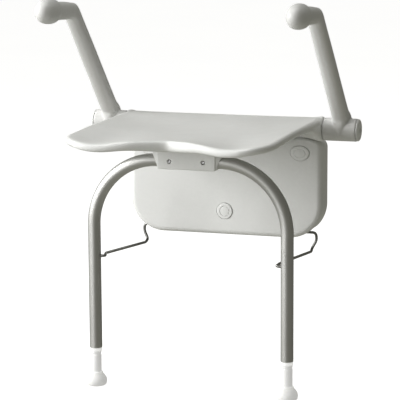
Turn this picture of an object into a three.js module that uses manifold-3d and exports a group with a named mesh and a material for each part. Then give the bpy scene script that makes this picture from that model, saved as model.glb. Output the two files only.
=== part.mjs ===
// Wall-mounted folding shower seat with two hinged arms and a pair of linked support legs.
// Millimetres, +Z up, wall plane at y = 0, front of the seat towards -Y, +X to the right.
import * as THREE from 'three';
import Module from 'manifold-3d';
import { mergeVertices } from 'three/addons/utils/BufferGeometryUtils.js';

const wasm = await Module();
wasm.setup();

// Driving dimensions
const FLOOR_Z = -385;
const GAP = 0.3;
const HINGE = { y: -48, z: 114 };
const LEG_PIVOT = { y: -280, z: 75 };
const STAY_PIVOT_DROP = 196.6;
const STAY_WALL = { y: -18, z: -104 };

const PLATE = { halfWidth: 185, halfHeight: 100, thickness: 4, corner: 45 };
const LUG_X = 142;
const LUG_THICKNESS = 8;
const LUG_BOSS_RADIUS = 13;
const AXLE = { radius: 7, halfLength: 262, tapRadius: 4.1, tapDepth: 24 };

const STAY_RATIO = 0.8736;
const LOW_LUG = { x: 146, thickness: 6, front: -34, top: -78, bottom: -110.5, slotSteps: 15 };
const COVER = {
  halfWidth: 204, bottom: -112.5, top: 86, depth: 50, wall: 3, lowCorner: 70, topCorner: 14, edge: 13,
};
const SCREW_SPOTS = [
  { name: 'upper_left', x: -159, z: 63, capX: 20, capZ: 15.5 },
  { name: 'upper_right', x: 159, z: 63, capX: 20, capZ: 15.5 },
  { name: 'lower', x: 0, z: -63, capX: 17, capZ: 17 },
];

const SEAT = {
  halfWidth: 207, rear: 4, lobe: -404, notch: -360, corner: 65, crown: 24, rim: 15, edge: 6.5, dish: 12,
};
const EAR = { inner: 163, outer: 208, innerRadius: 18, outerRadius: 25, bore: 9.9 };
const AXLE_GROOVE_RADIUS = 14.5;

const TUBE = { radius: 12.5, wall: 1.5, halfSpan: 197, bend: 133, bottomZ: -307.5 };
const BRACKET = {
  front: -250, bottom: -54.5, top: -8.3, topHalf: 83, bottomHalf: 58, rear: -204, channel: 13.1,
};
const SET_SCREW_X = 34.3;
const KEEPER_SCREW_SPOT = { x: 28, z: -18 };
const SEAT_SCREW_SPOT = { x: 46, y: -212 };
const PIVOT_BUSH = { x: 50, halfLength: 6 };

const HUB = { inner: 208.6, outer: 277, radius: 23, bore: 9.9, pocket: 17.2, pocketDepth: 9.4, barX: 245 };
const ARM_TRAVEL = THREE.MathUtils.degToRad(43);
const ARM_FOOT = { y: 17, z: 0 };
const ARM_ELBOW = { y: -210, z: 238.5 };
const HANDLE = { start: -262, tip: -368.5, z: 253 };
const STOP_DOG_ANGLE = THREE.MathUtils.degToRad(50);

const STEM = { radius: 10.7, top: -178, bottom: -371 };
const TIP = { radius: 21.5, height: 28 };
const WIRE = { radius: 2.5, runX: 179, crankX: 178.5, low: -142, hookRise: 3.5 };

// Materials
const plastic = (color) => new THREE.MeshStandardMaterial({ color, roughness: 0.45, metalness: 0 });
const metal = (color, roughness) => new THREE.MeshStandardMaterial({ color, roughness, metalness: 0.9 });
const SEAT_GREY = plastic(0xc9cac4);
const COVER_GREY = plastic(0xd2d3cd);
const WHITE = plastic(0xececea);
const BUSH_GREY = plastic(0x8d8f8c);
const ALUMINIUM = metal(0xa9aaa6, 0.32);
const STEEL = metal(0x6b6c6a, 0.35);
const ZINC = metal(0x9a9c9c, 0.5);

// Mesh building
function bodyFromRings(rings, closed = false) {
  const count = rings[0].length;
  const positions = [];
  const index = [];
  for (const ring of rings) {
    for (const point of ring) positions.push(point.x, point.y, point.z);
  }
  const bands = closed ? rings.length : rings.length - 1;
  for (let r = 0; r < bands; r++) {
    const a = r * count;
    const b = ((r + 1) % rings.length) * count;
    for (let i = 0; i < count; i++) {
      const j = (i + 1) % count;
      index.push(a + i, a + j, b + j, a + i, b + j, b + i);
    }
  }
  if (!closed) {
    for (const [start, flip] of [[0, true], [(rings.length - 1) * count, false]]) {
      const centre = new THREE.Vector3();
      const ring = start === 0 ? rings[0] : rings[rings.length - 1];
      ring.forEach((point) => centre.addScaledVector(point, 1 / count));
      const hub = positions.length / 3;
      positions.push(centre.x, centre.y, centre.z);
      for (let i = 0; i < count; i++) {
        const j = (i + 1) % count;
        if (flip) index.push(hub, start + j, start + i);
        else index.push(hub, start + i, start + j);
      }
    }
  }
  const geometry = new THREE.BufferGeometry();
  geometry.setAttribute('position', new THREE.Float32BufferAttribute(positions, 3));
  geometry.setIndex(index);
  return facingOut(geometry);
}

function facingOut(geometry) {
  const p = geometry.attributes.position;
  const index = geometry.index.array;
  let volume = 0;
  const [a, b, c] = [new THREE.Vector3(), new THREE.Vector3(), new THREE.Vector3()];
  for (let i = 0; i < index.length; i += 3) {
    a.fromBufferAttribute(p, index[i]);
    b.fromBufferAttribute(p, index[i + 1]);
    c.fromBufferAttribute(p, index[i + 2]);
    volume += a.dot(b.cross(c));
  }
  if (volume < 0) {
    for (let i = 0; i < index.length; i += 3) [index[i], index[i + 1]] = [index[i + 1], index[i]];
  }
  geometry.computeVertexNormals();
  return geometry;
}

function welded(geometry) {
  const bare = geometry.clone();
  bare.deleteAttribute('normal');
  if (bare.attributes.uv) bare.deleteAttribute('uv');
  return mergeVertices(bare, 1e-4);
}

function solidOf(geometry) {
  const merged = welded(geometry);
  const mesh = new wasm.Mesh({
    numProp: 3,
    vertProperties: new Float32Array(merged.attributes.position.array),
    triVerts: new Uint32Array(merged.index.array),
  });
  return new wasm.Manifold(mesh);
}

function geometryOf(solid) {
  const mesh = solid.getMesh();
  const geometry = new THREE.BufferGeometry();
  geometry.setAttribute('position', new THREE.BufferAttribute(mesh.vertProperties, 3));
  geometry.setIndex(new THREE.BufferAttribute(mesh.triVerts, 1));
  geometry.computeVertexNormals();
  return geometry;
}

function carve(base, { add = [], cut = [] }) {
  let solid = solidOf(base);
  for (const extra of add) solid = solid.add(solidOf(extra));
  for (const tool of cut) solid = solid.subtract(solidOf(tool));
  return geometryOf(solid);
}

function box(x0, x1, y0, y1, z0, z1) {
  const geometry = new THREE.BoxGeometry(x1 - x0, y1 - y0, z1 - z0);
  return geometry.translate((x0 + x1) / 2, (y0 + y1) / 2, (z0 + z1) / 2);
}

// A turned body: profile points are [radius, distance along the axis]; axis is 'x', 'y' or 'z'.
function turned(profile, axis, sides = 20) {
  const geometry = new THREE.LatheGeometry(profile.map(([r, h]) => new THREE.Vector2(r, h)), sides);
  if (axis === 'x') geometry.rotateZ(-Math.PI / 2);
  if (axis === 'z') geometry.rotateX(Math.PI / 2);
  return facingOut(welded(geometry));
}

function rod(radius, from, to, axis, sides = 20) {
  return turned([[0, from], [radius, from], [radius, to], [0, to]], axis, sides);
}

function ringBar(inner, outer, from, to, axis, sides = 20) {
  return turned([[inner, from], [outer, from], [outer, to], [inner, to], [inner, from]], axis, sides);
}

// Rings of a given cross-section carried along a list of points.
function sweepRings(points, sides, radiiAt, across = new THREE.Vector3(1, 0, 0)) {
  return points.map((point, i) => {
    const before = points[Math.max(i - 1, 0)];
    const after = points[Math.min(i + 1, points.length - 1)];
    const along = after.clone().sub(before).normalize();
    const reference = Math.abs(along.dot(across)) > 0.9 ? new THREE.Vector3(0, 1, 0) : across;
    const side = reference.clone().addScaledVector(along, -reference.dot(along)).normalize();
    const up = new THREE.Vector3().crossVectors(along, side);
    const [a, b] = radiiAt(i);
    return Array.from({ length: sides }, (_, k) => {
      const angle = (2 * Math.PI * k) / sides;
      return point.clone().addScaledVector(side, a * Math.cos(angle))
        .addScaledVector(up, b * Math.sin(angle));
    });
  });
}

// Corner points replaced by short arcs.
function roundedRoute(corners, radius, steps) {
  const route = [corners[0]];
  for (let i = 1; i < corners.length - 1; i++) {
    const corner = corners[i];
    const back = corners[i - 1].clone().sub(corner);
    const ahead = corners[i + 1].clone().sub(corner);
    const reach = Math.min(radius, back.length() / 2.2, ahead.length() / 2.2);
    const start = corner.clone().addScaledVector(back.normalize(), reach);
    const end = corner.clone().addScaledVector(ahead.normalize(), reach);
    const curve = new THREE.QuadraticBezierCurve3(start, corner, end);
    route.push(...curve.getPoints(steps));
  }
  route.push(corners[corners.length - 1]);
  return route;
}

const root = new THREE.Group();

function place(parent, name, geometry, material) {
  const mesh = new THREE.Mesh(geometry, material);
  mesh.name = name;
  parent.add(mesh);
  return mesh;
}

function groupAt(parent, x, y, z) {
  const group = new THREE.Group();
  group.position.set(x, y, z);
  parent.add(group);
  return group;
}

const wall = groupAt(root, 0, 0, 0);
const hinge = groupAt(root, 0, HINGE.y, HINGE.z);
const legs = groupAt(root, 0, LEG_PIVOT.y, LEG_PIVOT.z);

// Wall bracket: pressed plate with two axle lugs and two lower lugs for the stay wire
function roundedPlate(halfX, halfZ, corner) {
  const shape = new THREE.Shape();
  shape.moveTo(-halfX + corner, -halfZ);
  shape.lineTo(halfX - corner, -halfZ);
  shape.absarc(halfX - corner, -halfZ + corner, corner, -Math.PI / 2, 0);
  shape.lineTo(halfX, halfZ - corner);
  shape.absarc(halfX - corner, halfZ - corner, corner, 0, Math.PI / 2);
  shape.lineTo(-halfX + corner, halfZ);
  shape.absarc(-halfX + corner, halfZ - corner, corner, Math.PI / 2, Math.PI);
  shape.lineTo(-halfX, -halfZ + corner);
  shape.absarc(-halfX + corner, -halfZ + corner, corner, Math.PI, Math.PI * 1.5);
  return shape;
}

// Extrudes a shape drawn in (y, z) along X, centred on x.
function slabAcross(shape, x, thickness) {
  const geometry = new THREE.ExtrudeGeometry(shape, {
    depth: thickness, bevelEnabled: false, curveSegments: 12,
  });
  geometry.rotateX(Math.PI / 2);
  geometry.rotateZ(Math.PI / 2);
  return geometry.translate(x - thickness / 2, 0, 0);
}

function lugShape() {
  const shape = new THREE.Shape();
  const foot = -PLATE.thickness + 1;
  shape.moveTo(HINGE.y + 1, HINGE.z - 12.5);
  shape.lineTo(foot, HINGE.z - 74);
  shape.lineTo(foot, PLATE.halfHeight - 0.5);
  shape.lineTo(HINGE.y + 30, HINGE.z - 8.5);
  shape.lineTo(HINGE.y + 11, HINGE.z - 7);
  return shape;
}

// The wire's wall pivot at a fold angle: the seat turns up, the legs stay upright and the wire swings.
function stayPivotAt(fold) {
  const turn = (y, z, angle) => ({
    y: y * Math.cos(angle) + z * Math.sin(angle),
    z: -y * Math.sin(angle) + z * Math.cos(angle),
  });
  const hookZ = LEG_PIVOT.z - STAY_PIVOT_DROP;
  const seatArm = turn(LEG_PIVOT.y - HINGE.y, LEG_PIVOT.z - HINGE.z, fold);
  const wireArm = turn(STAY_WALL.y - LEG_PIVOT.y, STAY_WALL.z - hookZ, fold * STAY_RATIO);
  return { y: HINGE.y + seatArm.y + wireArm.y, z: HINGE.z + seatArm.z - STAY_PIVOT_DROP + wireArm.z };
}

// Slot in a lower lug that leaves room for the path of the wire pivot through the fold.
function staySlot(x) {
  return Array.from({ length: LOW_LUG.slotSteps + 1 }, (_, i) => {
    const at = stayPivotAt((Math.PI / 2) * (i / LOW_LUG.slotSteps));
    return rod(WIRE.radius + 1.1, x - LOW_LUG.thickness, x + LOW_LUG.thickness, 'x', 16).translate(0, at.y, at.z);
  });
}

function wallBracket() {
  const plate = new THREE.ExtrudeGeometry(roundedPlate(PLATE.halfWidth, PLATE.halfHeight, PLATE.corner), {
    depth: PLATE.thickness, bevelEnabled: false, curveSegments: 6,
  });
  plate.rotateX(Math.PI / 2);
  const add = [];
  const cut = [];
  for (const side of [-1, 1]) {
    add.push(slabAcross(lugShape(), side * LUG_X, LUG_THICKNESS));
    add.push(rod(LUG_BOSS_RADIUS, -LUG_THICKNESS / 2, LUG_THICKNESS / 2, 'x')
      .translate(side * LUG_X, HINGE.y, HINGE.z));
    cut.push(rod(AXLE.radius + GAP, -LUG_THICKNESS, LUG_THICKNESS, 'x')
      .translate(side * LUG_X, HINGE.y, HINGE.z));
    const lowX = side * LOW_LUG.x;
    const half = LOW_LUG.thickness / 2;
    add.push(box(lowX - half, lowX + half, LOW_LUG.front, -PLATE.thickness + 1, LOW_LUG.bottom, LOW_LUG.top));
    cut.push(...staySlot(lowX));
  }
  for (const spot of SCREW_SPOTS) cut.push(rod(4.4, -8, 4, 'y').translate(spot.x, 0, spot.z));
  return carve(plate, { add, cut });
}

place(wall, 'wall_bracket', wallBracket(), ZINC);

// Wall screws end flush with the wall plane; what is inside the wall belongs to the wall.
const WALL_SCREW = [[0, -0.4], [3.9, -0.4], [3.9, -4.3], [7.5, -4.3], [7.5, -6.4], [5.2, -8.8], [2.2, -9.3],
  [2.2, -7.4], [0, -7.4]];
for (const spot of SCREW_SPOTS) {
  const screw = place(wall, `wall_screw_${spot.name}`, turned(WALL_SCREW, 'y', 12), ZINC);
  screw.position.set(spot.x, 0, spot.z);
}

// Wall cover: thin shell, open at the back
function coverOutline(inset, y) {
  const halfX = COVER.halfWidth - inset;
  const low = COVER.bottom + inset;
  const high = COVER.top - inset * 0.6;
  const rLow = Math.max(COVER.lowCorner - inset, 4);
  const rTop = Math.max(COVER.topCorner - inset, 2);
  const ring = [];
  const arc = (cx, cz, r, from, steps) => {
    for (let i = 0; i <= steps; i++) {
      const angle = from + (i / steps) * (Math.PI / 2);
      ring.push(new THREE.Vector3(cx + r * Math.cos(angle), y, cz + r * Math.sin(angle)));
    }
  };
  arc(halfX - rTop, high - rTop, rTop, 0, 4);
  arc(-halfX + rTop, high - rTop, rTop, Math.PI / 2, 4);
  arc(-halfX + rLow, low + rLow, rLow, Math.PI, 10);
  arc(halfX - rLow, low + rLow, rLow, Math.PI * 1.5, 10);
  return ring;
}

function wallCover() {
  const rings = [];
  const edge = COVER.edge;
  const front = -COVER.depth;
  const bend = (radius, inset, y) => {
    for (const angle of [90, 60, 30, 0]) {
      const a = THREE.MathUtils.degToRad(angle);
      rings.push(coverOutline(inset + radius * (1 - Math.cos(a)), y + radius * (1 - Math.sin(a))));
    }
  };
  rings.push(coverOutline(edge * 2, front));
  bend(edge, 0, front);
  rings.push(coverOutline(0, -0.5));
  rings.push(coverOutline(COVER.wall, -0.5));
  const inner = [];
  for (const angle of [0, 45, 90]) {
    const a = THREE.MathUtils.degToRad(angle);
    const r = edge - COVER.wall;
    inner.push(coverOutline(COVER.wall + r * (1 - Math.cos(a)), front + COVER.wall + r * (1 - Math.sin(a))));
  }
  inner.push(coverOutline(edge * 2, front + COVER.wall));
  rings.push(...inner);
  const cut = [];
  for (const spot of SCREW_SPOTS) {
    const hole = rod(1, -COVER.depth - 5, -COVER.depth + 8, 'y', 24);
    hole.scale(spot.capX - 2, 1, spot.capZ - 2);
    cut.push(hole.translate(spot.x, 0, spot.z));
  }
  const behindTop = PLATE.halfWidth + 1;
  cut.push(box(-behindTop, behindTop, -PLATE.thickness - 0.4, 2, COVER.top - 12, COVER.top + 5));
  for (const side of [-1, 1]) {
    const lugX = side * LUG_X;
    cut.push(box(lugX - 5, lugX + 5, -38, 2, COVER.top - 12, COVER.top + 5));
    cut.push(box(side * 167 - 27, side * 167 + 27, LOW_LUG.front - 2, 2, COVER.bottom - 5, STAY_WALL.z + 12));
  }
  return carve(bodyFromRings(rings), { cut });
}

place(wall, 'wall_cover', wallCover(), COVER_GREY);

// Screw caps: flanged plugs with a ring groove in the face
const CAP_PROFILE = [[0, 6], [0.82, 6], [0.82, -0.35], [1, -0.35], [0.96, -1.6], [0.6, -1.9], [0.56, -1.3],
  [0.5, -1.9], [0, -2.2]];
for (const spot of SCREW_SPOTS) {
  const cap = turned(CAP_PROFILE, 'y', 24);
  cap.scale(spot.capX, 1, spot.capZ);
  const mesh = place(wall, `screw_cap_${spot.name}`, cap, COVER_GREY);
  mesh.position.set(spot.x, -COVER.depth, spot.z);
}

// Hinge axle with tapped ends
place(hinge, 'hinge_axle', turned([
  [0, -AXLE.halfLength + AXLE.tapDepth], [AXLE.tapRadius, -AXLE.halfLength + AXLE.tapDepth],
  [AXLE.tapRadius, -AXLE.halfLength], [AXLE.radius - 0.6, -AXLE.halfLength], [AXLE.radius, -AXLE.halfLength + 1],
  [AXLE.radius, AXLE.halfLength - 1], [AXLE.radius - 0.6, AXLE.halfLength], [AXLE.tapRadius, AXLE.halfLength],
  [AXLE.tapRadius, AXLE.halfLength - AXLE.tapDepth], [0, AXLE.halfLength - AXLE.tapDepth],
], 'x'), STEEL);

// Seat: plan outline, dished top and a rounded rim
function seatFront(x) {
  const across = Math.abs(x);
  const lobeX = SEAT.halfWidth - SEAT.corner;
  if (across > lobeX) {
    const run = across - lobeX;
    return SEAT.lobe + SEAT.corner - Math.sqrt(Math.max(SEAT.corner ** 2 - run ** 2, 0));
  }
  const t = Math.sqrt((across / lobeX) ** 2 + 0.012) - Math.sqrt(0.012);
  const full = Math.sqrt(1.012) - Math.sqrt(0.012);
  return SEAT.notch + (SEAT.lobe - SEAT.notch) * Math.sin((Math.PI / 2) * (t / full));
}

function seatOutline() {
  const outline = [];
  const half = SEAT.halfWidth;
  const sideEnd = SEAT.lobe + SEAT.corner;
  for (let i = 0; i < 8; i++) outline.push([half - (2 * half * i) / 8, SEAT.rear]);
  for (let i = 0; i < 6; i++) outline.push([-half, SEAT.rear + ((sideEnd - SEAT.rear) * i) / 6]);
  const fronts = 30;
  for (let i = 0; i < fronts; i++) {
    const x = -half * Math.cos((Math.PI * i) / fronts) * 0.5 - half * (1 - (2 * i) / fronts) * 0.5;
    outline.push([x, seatFront(x)]);
  }
  for (let i = 0; i < 6; i++) outline.push([half, sideEnd + ((SEAT.rear - sideEnd) * i) / 6]);
  return outline;
}

function seatTop(x, y) {
  const across = Math.min(Math.abs(x) / SEAT.halfWidth, 1);
  const depth = THREE.MathUtils.clamp((SEAT.rear - y) / (SEAT.rear - SEAT.lobe), 0, 1);
  const dish = SEAT.dish * (1 - across ** 2.2) * Math.sin(Math.PI * Math.min(depth * 1.05, 1)) ** 0.8;
  const lobe = Math.exp(-(((Math.abs(x) - 128) / 55) ** 2));
  const fall = THREE.MathUtils.smoothstep(depth, 0.5, 1) * (3 + 9 * lobe);
  return SEAT.crown - dish - fall;
}

function seatBody() {
  const outline = seatOutline();
  const centre = [0, -190];
  const ringAt = (inset, lift) => outline.map(([x, y]) => {
    const reach = Math.hypot(x - centre[0], y - centre[1]);
    const scale = inset < 1 ? inset : 1 - inset / reach;
    const px = centre[0] + (x - centre[0]) * scale;
    const py = centre[1] + (y - centre[1]) * scale;
    return new THREE.Vector3(px, py, seatTop(px, py) + lift);
  });
  const e = SEAT.edge;
  const rings = [ringAt(0.12, 0), ringAt(0.35, 0), ringAt(0.55, 0), ringAt(0.72, 0), ringAt(0.85, 0),
    ringAt(e * 1.6, 0), ringAt(e * 0.35 + 1, -e * 0.35)];
  rings.push(outline.map(([x, y]) => new THREE.Vector3(x, y, seatTop(x, y) - e)));
  rings.push(outline.map(([x, y]) => new THREE.Vector3(x, y, seatTop(x, y) - SEAT.rim + e * 0.6)));
  rings.push(ringAt(e + 1, -SEAT.rim), ringAt(0.6, -SEAT.rim), ringAt(0.15, -SEAT.rim));
  return bodyFromRings(rings);
}

function seat() {
  const add = [box(-86, 86, -262, -202, BRACKET.top + GAP, 6)];
  const cut = [rod(AXLE_GROOVE_RADIUS, -EAR.inner, EAR.inner, 'x')];
  for (const side of [-1, 1]) {
    const ear = turned([[0, EAR.inner], [EAR.innerRadius, EAR.inner], [EAR.innerRadius + 2, EAR.inner + 14],
      [EAR.outerRadius, EAR.outer - 14], [EAR.outerRadius, EAR.outer - 1], [EAR.outerRadius - 1, EAR.outer],
      [0, EAR.outer]], 'x', 28);
    if (side < 0) ear.rotateY(Math.PI);
    add.push(ear);
    cut.push(rod(EAR.bore, Math.min(side * 155, side * 215), Math.max(side * 155, side * 215), 'x'));
    cut.push(rod(2.5, -14, 3, 'z', 12).translate(side * SEAT_SCREW_SPOT.x, SEAT_SCREW_SPOT.y, 0));
  }
  return carve(seatBody(), { add, cut });
}

const seatGroup = new THREE.Group();
hinge.add(seatGroup);
place(seatGroup, 'seat', seat(), SEAT_GREY);
for (const [side, name] of [[-1, 'left'], [1, 'right']]) {
  const bush = ringBar(AXLE.radius + GAP, EAR.bore - GAP, EAR.inner + 0.5, EAR.outer - 0.5, 'x');
  if (side < 0) bush.rotateY(Math.PI);
  place(seatGroup, `seat_bush_${name}`, bush, BUSH_GREY);
}

// Leg bracket: front block and rear keeper around the arch of the leg frame
const TUBE_LOCAL = { y: LEG_PIVOT.y - HINGE.y, z: LEG_PIVOT.z - HINGE.z };

function bracketShape() {
  const shape = new THREE.Shape();
  shape.moveTo(-BRACKET.bottomHalf + 4, BRACKET.bottom);
  shape.lineTo(BRACKET.bottomHalf - 4, BRACKET.bottom);
  shape.quadraticCurveTo(BRACKET.bottomHalf, BRACKET.bottom, BRACKET.bottomHalf + 1.5, BRACKET.bottom + 4);
  shape.lineTo(BRACKET.topHalf, BRACKET.top);
  shape.lineTo(-BRACKET.topHalf, BRACKET.top);
  shape.lineTo(-BRACKET.bottomHalf - 1.5, BRACKET.bottom + 4);
  shape.quadraticCurveTo(-BRACKET.bottomHalf, BRACKET.bottom, -BRACKET.bottomHalf + 4, BRACKET.bottom);
  return shape;
}

function bracketBlock(front, rear, bevel) {
  const geometry = new THREE.ExtrudeGeometry(bracketShape(), {
    depth: rear - front - bevel, bevelEnabled: bevel > 0, bevelThickness: bevel, bevelSize: bevel,
    bevelOffset: -bevel, bevelSegments: 3, curveSegments: 3,
  });
  geometry.rotateX(Math.PI / 2);
  return geometry.translate(0, rear, 0);
}

function channelCuts() {
  const cuts = [rod(BRACKET.channel, -90, 90, 'x')];
  for (const side of [-1, 1]) {
    const reach = PIVOT_BUSH.halfLength + 0.5;
    cuts.push(rod(BRACKET.channel + 2.2, side * PIVOT_BUSH.x - reach, side * PIVOT_BUSH.x + reach, 'x'));
  }
  return cuts.map((tool) => tool.translate(0, TUBE_LOCAL.y, TUBE_LOCAL.z));
}

function legBracket() {
  const cut = channelCuts();
  cut.push(box(-90, 90, TUBE_LOCAL.y - 0.15, BRACKET.rear + 60, BRACKET.bottom - 9, BRACKET.top + 9));
  for (const side of [-1, 1]) {
    cut.push(rod(2.9, BRACKET.front - 5, TUBE_LOCAL.y, 'y', 16).translate(side * SET_SCREW_X, 0, TUBE_LOCAL.z));
    cut.push(rod(2.3, -241, -225, 'y', 12).translate(side * KEEPER_SCREW_SPOT.x, 0, KEEPER_SCREW_SPOT.z));
  }
  return carve(bracketBlock(BRACKET.front, TUBE_LOCAL.y + 6, 3), { cut });
}

function bracketKeeper() {
  const cut = channelCuts();
  cut.push(box(-90, 90, -300, TUBE_LOCAL.y + 0.15, BRACKET.bottom - 9, BRACKET.top + 9));
  for (const side of [-1, 1]) {
    cut.push(rod(2.3, -240, -200, 'y', 12).translate(side * KEEPER_SCREW_SPOT.x, 0, KEEPER_SCREW_SPOT.z));
    cut.push(rod(2.5, -70, 0, 'z', 12).translate(side * SEAT_SCREW_SPOT.x, SEAT_SCREW_SPOT.y, 0));
  }
  return carve(bracketBlock(TUBE_LOCAL.y - 6, BRACKET.rear, 0), { cut });
}

place(seatGroup, 'leg_bracket', legBracket(), SEAT_GREY);
place(seatGroup, 'bracket_keeper', bracketKeeper(), SEAT_GREY);

const SET_SCREW = [[0, 4.2], [2.5, 4.2], [2.5, 0], [1.4, 0], [1.4, 1.8], [0, 1.8]];
const KEEPER_SCREW = [[0, -35], [2, -35], [2, 0], [4, 0], [4, 2.2], [3, 3], [1.4, 3], [1.4, 1.5], [0, 1.5]];
const SEAT_SCREW = [[0, 57], [2.2, 57], [2.2, 0], [4.6, 0], [4.6, -2.4], [3.4, -3.2], [1.6, -3.2], [1.6, -1.6],
  [0, -1.6]];
for (const [side, name] of [[-1, 'left'], [1, 'right']]) {
  const setScrew = place(seatGroup, `set_screw_${name}`, turned(SET_SCREW, 'y', 12), STEEL);
  setScrew.position.set(side * SET_SCREW_X, BRACKET.front + 0.9, TUBE_LOCAL.z);
  const keeperScrew = place(seatGroup, `keeper_screw_${name}`, turned(KEEPER_SCREW, 'y', 12), ZINC);
  keeperScrew.position.set(side * KEEPER_SCREW_SPOT.x, BRACKET.rear + GAP, KEEPER_SCREW_SPOT.z);
  const seatScrew = place(seatGroup, `seat_screw_${name}`, turned(SEAT_SCREW, 'z', 12), ZINC);
  seatScrew.position.set(side * SEAT_SCREW_SPOT.x, SEAT_SCREW_SPOT.y, BRACKET.bottom - GAP);
  const bushX = side * PIVOT_BUSH.x;
  const bush = ringBar(TUBE.radius + GAP, BRACKET.channel + 1.9, bushX - PIVOT_BUSH.halfLength,
    bushX + PIVOT_BUSH.halfLength, 'x');
  const bushMesh = place(seatGroup, `pivot_bush_${name}`, bush, BUSH_GREY);
  bushMesh.position.set(0, TUBE_LOCAL.y, TUBE_LOCAL.z);
}

// Arms: hub, leaning oval bar set a little behind the hinge line, elbow and forward handle with a bulb end
function armRings() {
  const foot = new THREE.Vector3(0, ARM_FOOT.y, ARM_FOOT.z);
  const elbow = new THREE.Vector3(0, ARM_ELBOW.y, ARM_ELBOW.z);
  const onBar = (t) => foot.clone().lerp(elbow, t);
  const points = [];
  const radii = [];
  const push = (point, a, b) => {
    points.push(point);
    radii.push([a, b]);
  };
  push(new THREE.Vector3(0, 1, 0), 20, 19);
  push(new THREE.Vector3(0, 1.5, 11), 20, 19);
  push(new THREE.Vector3(0, -1.5, 22), 19, 18);
  for (const [t, a, b] of [[0.14, 18, 17.2], [0.2, 17.5, 16.6], [0.5, 17, 16.4], [0.86, 17.4, 17]]) {
    push(onBar(t), a, b);
  }
  const bendEnd = new THREE.Vector3(0, HANDLE.start, HANDLE.z - 1);
  const bend = new THREE.QuadraticBezierCurve3(onBar(0.9), onBar(1.04), bendEnd);
  for (const t of [0.1, 0.3, 0.5, 0.7, 0.9]) push(bend.getPoint(t), 18, 18.5);
  const handle = [[0.18, 18, 19], [0.35, 18.5, 21], [0.5, 20, 23.5], [0.68, 21.5, 25.5], [0.82, 20.5, 24.5],
    [0.925, 16.5, 19.5], [0.985, 10, 12], [1, 4, 5]];
  for (const [t, a, b] of handle) {
    push(new THREE.Vector3(0, THREE.MathUtils.lerp(HANDLE.start, HANDLE.tip, t), HANDLE.z), a, b);
  }
  return sweepRings(points, 16, (i) => radii[i]);
}

// A sector between two radii, drawn in (y, z) and extruded along X.
function sector(inner, outer, from, to, x0, x1) {
  const shape = new THREE.Shape();
  shape.absarc(0, 0, outer, from, to, false);
  shape.absarc(0, 0, inner, to, from, true);
  return slabAcross(shape, (x0 + x1) / 2, x1 - x0);
}

function armBody() {
  const bar = bodyFromRings(armRings()).translate(HUB.barX, 0, 0);
  const hub = turned([[0, HUB.inner], [HUB.radius - 1, HUB.inner], [HUB.radius, HUB.inner + 1],
    [HUB.radius, HUB.outer - 1.5], [HUB.radius - 1.5, HUB.outer], [0, HUB.outer]], 'x', 28);
  const pocketEnd = HUB.inner + HUB.pocketDepth;
  const dogStart = -Math.PI / 2 - STOP_DOG_ANGLE / 2;
  const slack = THREE.MathUtils.degToRad(1.5);
  const cut = [
    rod(HUB.bore, HUB.inner - 5, HUB.outer + 5, 'x'),
    rod(HUB.pocket, HUB.outer - 15, HUB.outer + 5, 'x'),
    rod(13.6, HUB.inner - 5, pocketEnd, 'x'),
    sector(9, HUB.pocket, dogStart - slack, dogStart + STOP_DOG_ANGLE + ARM_TRAVEL + slack, HUB.inner - 5,
      pocketEnd),
  ];
  return carve(hub, { add: [bar], cut });
}

// Stop ring: a ring with one dog, pinned to the axle inside the hub's pocket
function stopRing() {
  const x0 = HUB.inner + 0.5;
  const x1 = HUB.inner + HUB.pocketDepth - 0.8;
  const dogStart = -Math.PI / 2 - STOP_DOG_ANGLE / 2;
  const ring = ringBar(AXLE.radius + GAP, 13.2, x0, x1, 'x');
  return carve(ring, { add: [sector(12, HUB.pocket - 0.8, dogStart, dogStart + STOP_DOG_ANGLE, x0, x1)] });
}

const END_SCREW = [[0, -20], [3.8, -20], [3.8, 0.3], [11.5, 0.3], [11.5, 1.8], [6.5, 2], [6, 5.4], [3, 5.8], [3, 3],
  [0, 3]];
const armBodyRight = armBody();
const stopRingRight = stopRing();
for (const [side, name] of [[-1, 'left'], [1, 'right']]) {
  const mirrored = (geometry) => {
    if (side > 0) return geometry.clone();
    return facingOut(geometry.clone().scale(-1, 1, 1));
  };
  const armGroup = new THREE.Group();
  hinge.add(armGroup);
  place(armGroup, `arm_${name}`, mirrored(armBodyRight), SEAT_GREY);
  const bushStart = HUB.inner + HUB.pocketDepth + 0.5;
  const bush = ringBar(AXLE.radius + GAP, HUB.bore - GAP, bushStart, AXLE.halfLength - 0.6, 'x');
  place(armGroup, `arm_bush_${name}`, mirrored(bush), BUSH_GREY);
  const end = HUB.outer;
  const cap = turned([[0, end - 5], [HUB.pocket - 0.5, end - 5], [HUB.pocket - 0.5, end + GAP],
    [HUB.radius - 0.8, end + GAP], [HUB.radius - 0.8, end + 1.6], [HUB.radius - 2.5, end + 3.8],
    [14, end + 5.4], [0, end + 6]], 'x', 28);
  const slot = box(end + 3.5, end + 9, -2.5, 2.5, -5, 5);
  place(armGroup, `hub_end_cap_${name}`, mirrored(carve(cap, { cut: [slot] })), SEAT_GREY);
  place(hinge, `arm_stop_ring_${name}`, mirrored(stopRingRight), ZINC);
  const screw = turned(END_SCREW, 'x', 14).translate(AXLE.halfLength, 0, 0);
  place(hinge, `axle_screw_${name}`, mirrored(screw), ZINC);
}

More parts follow.
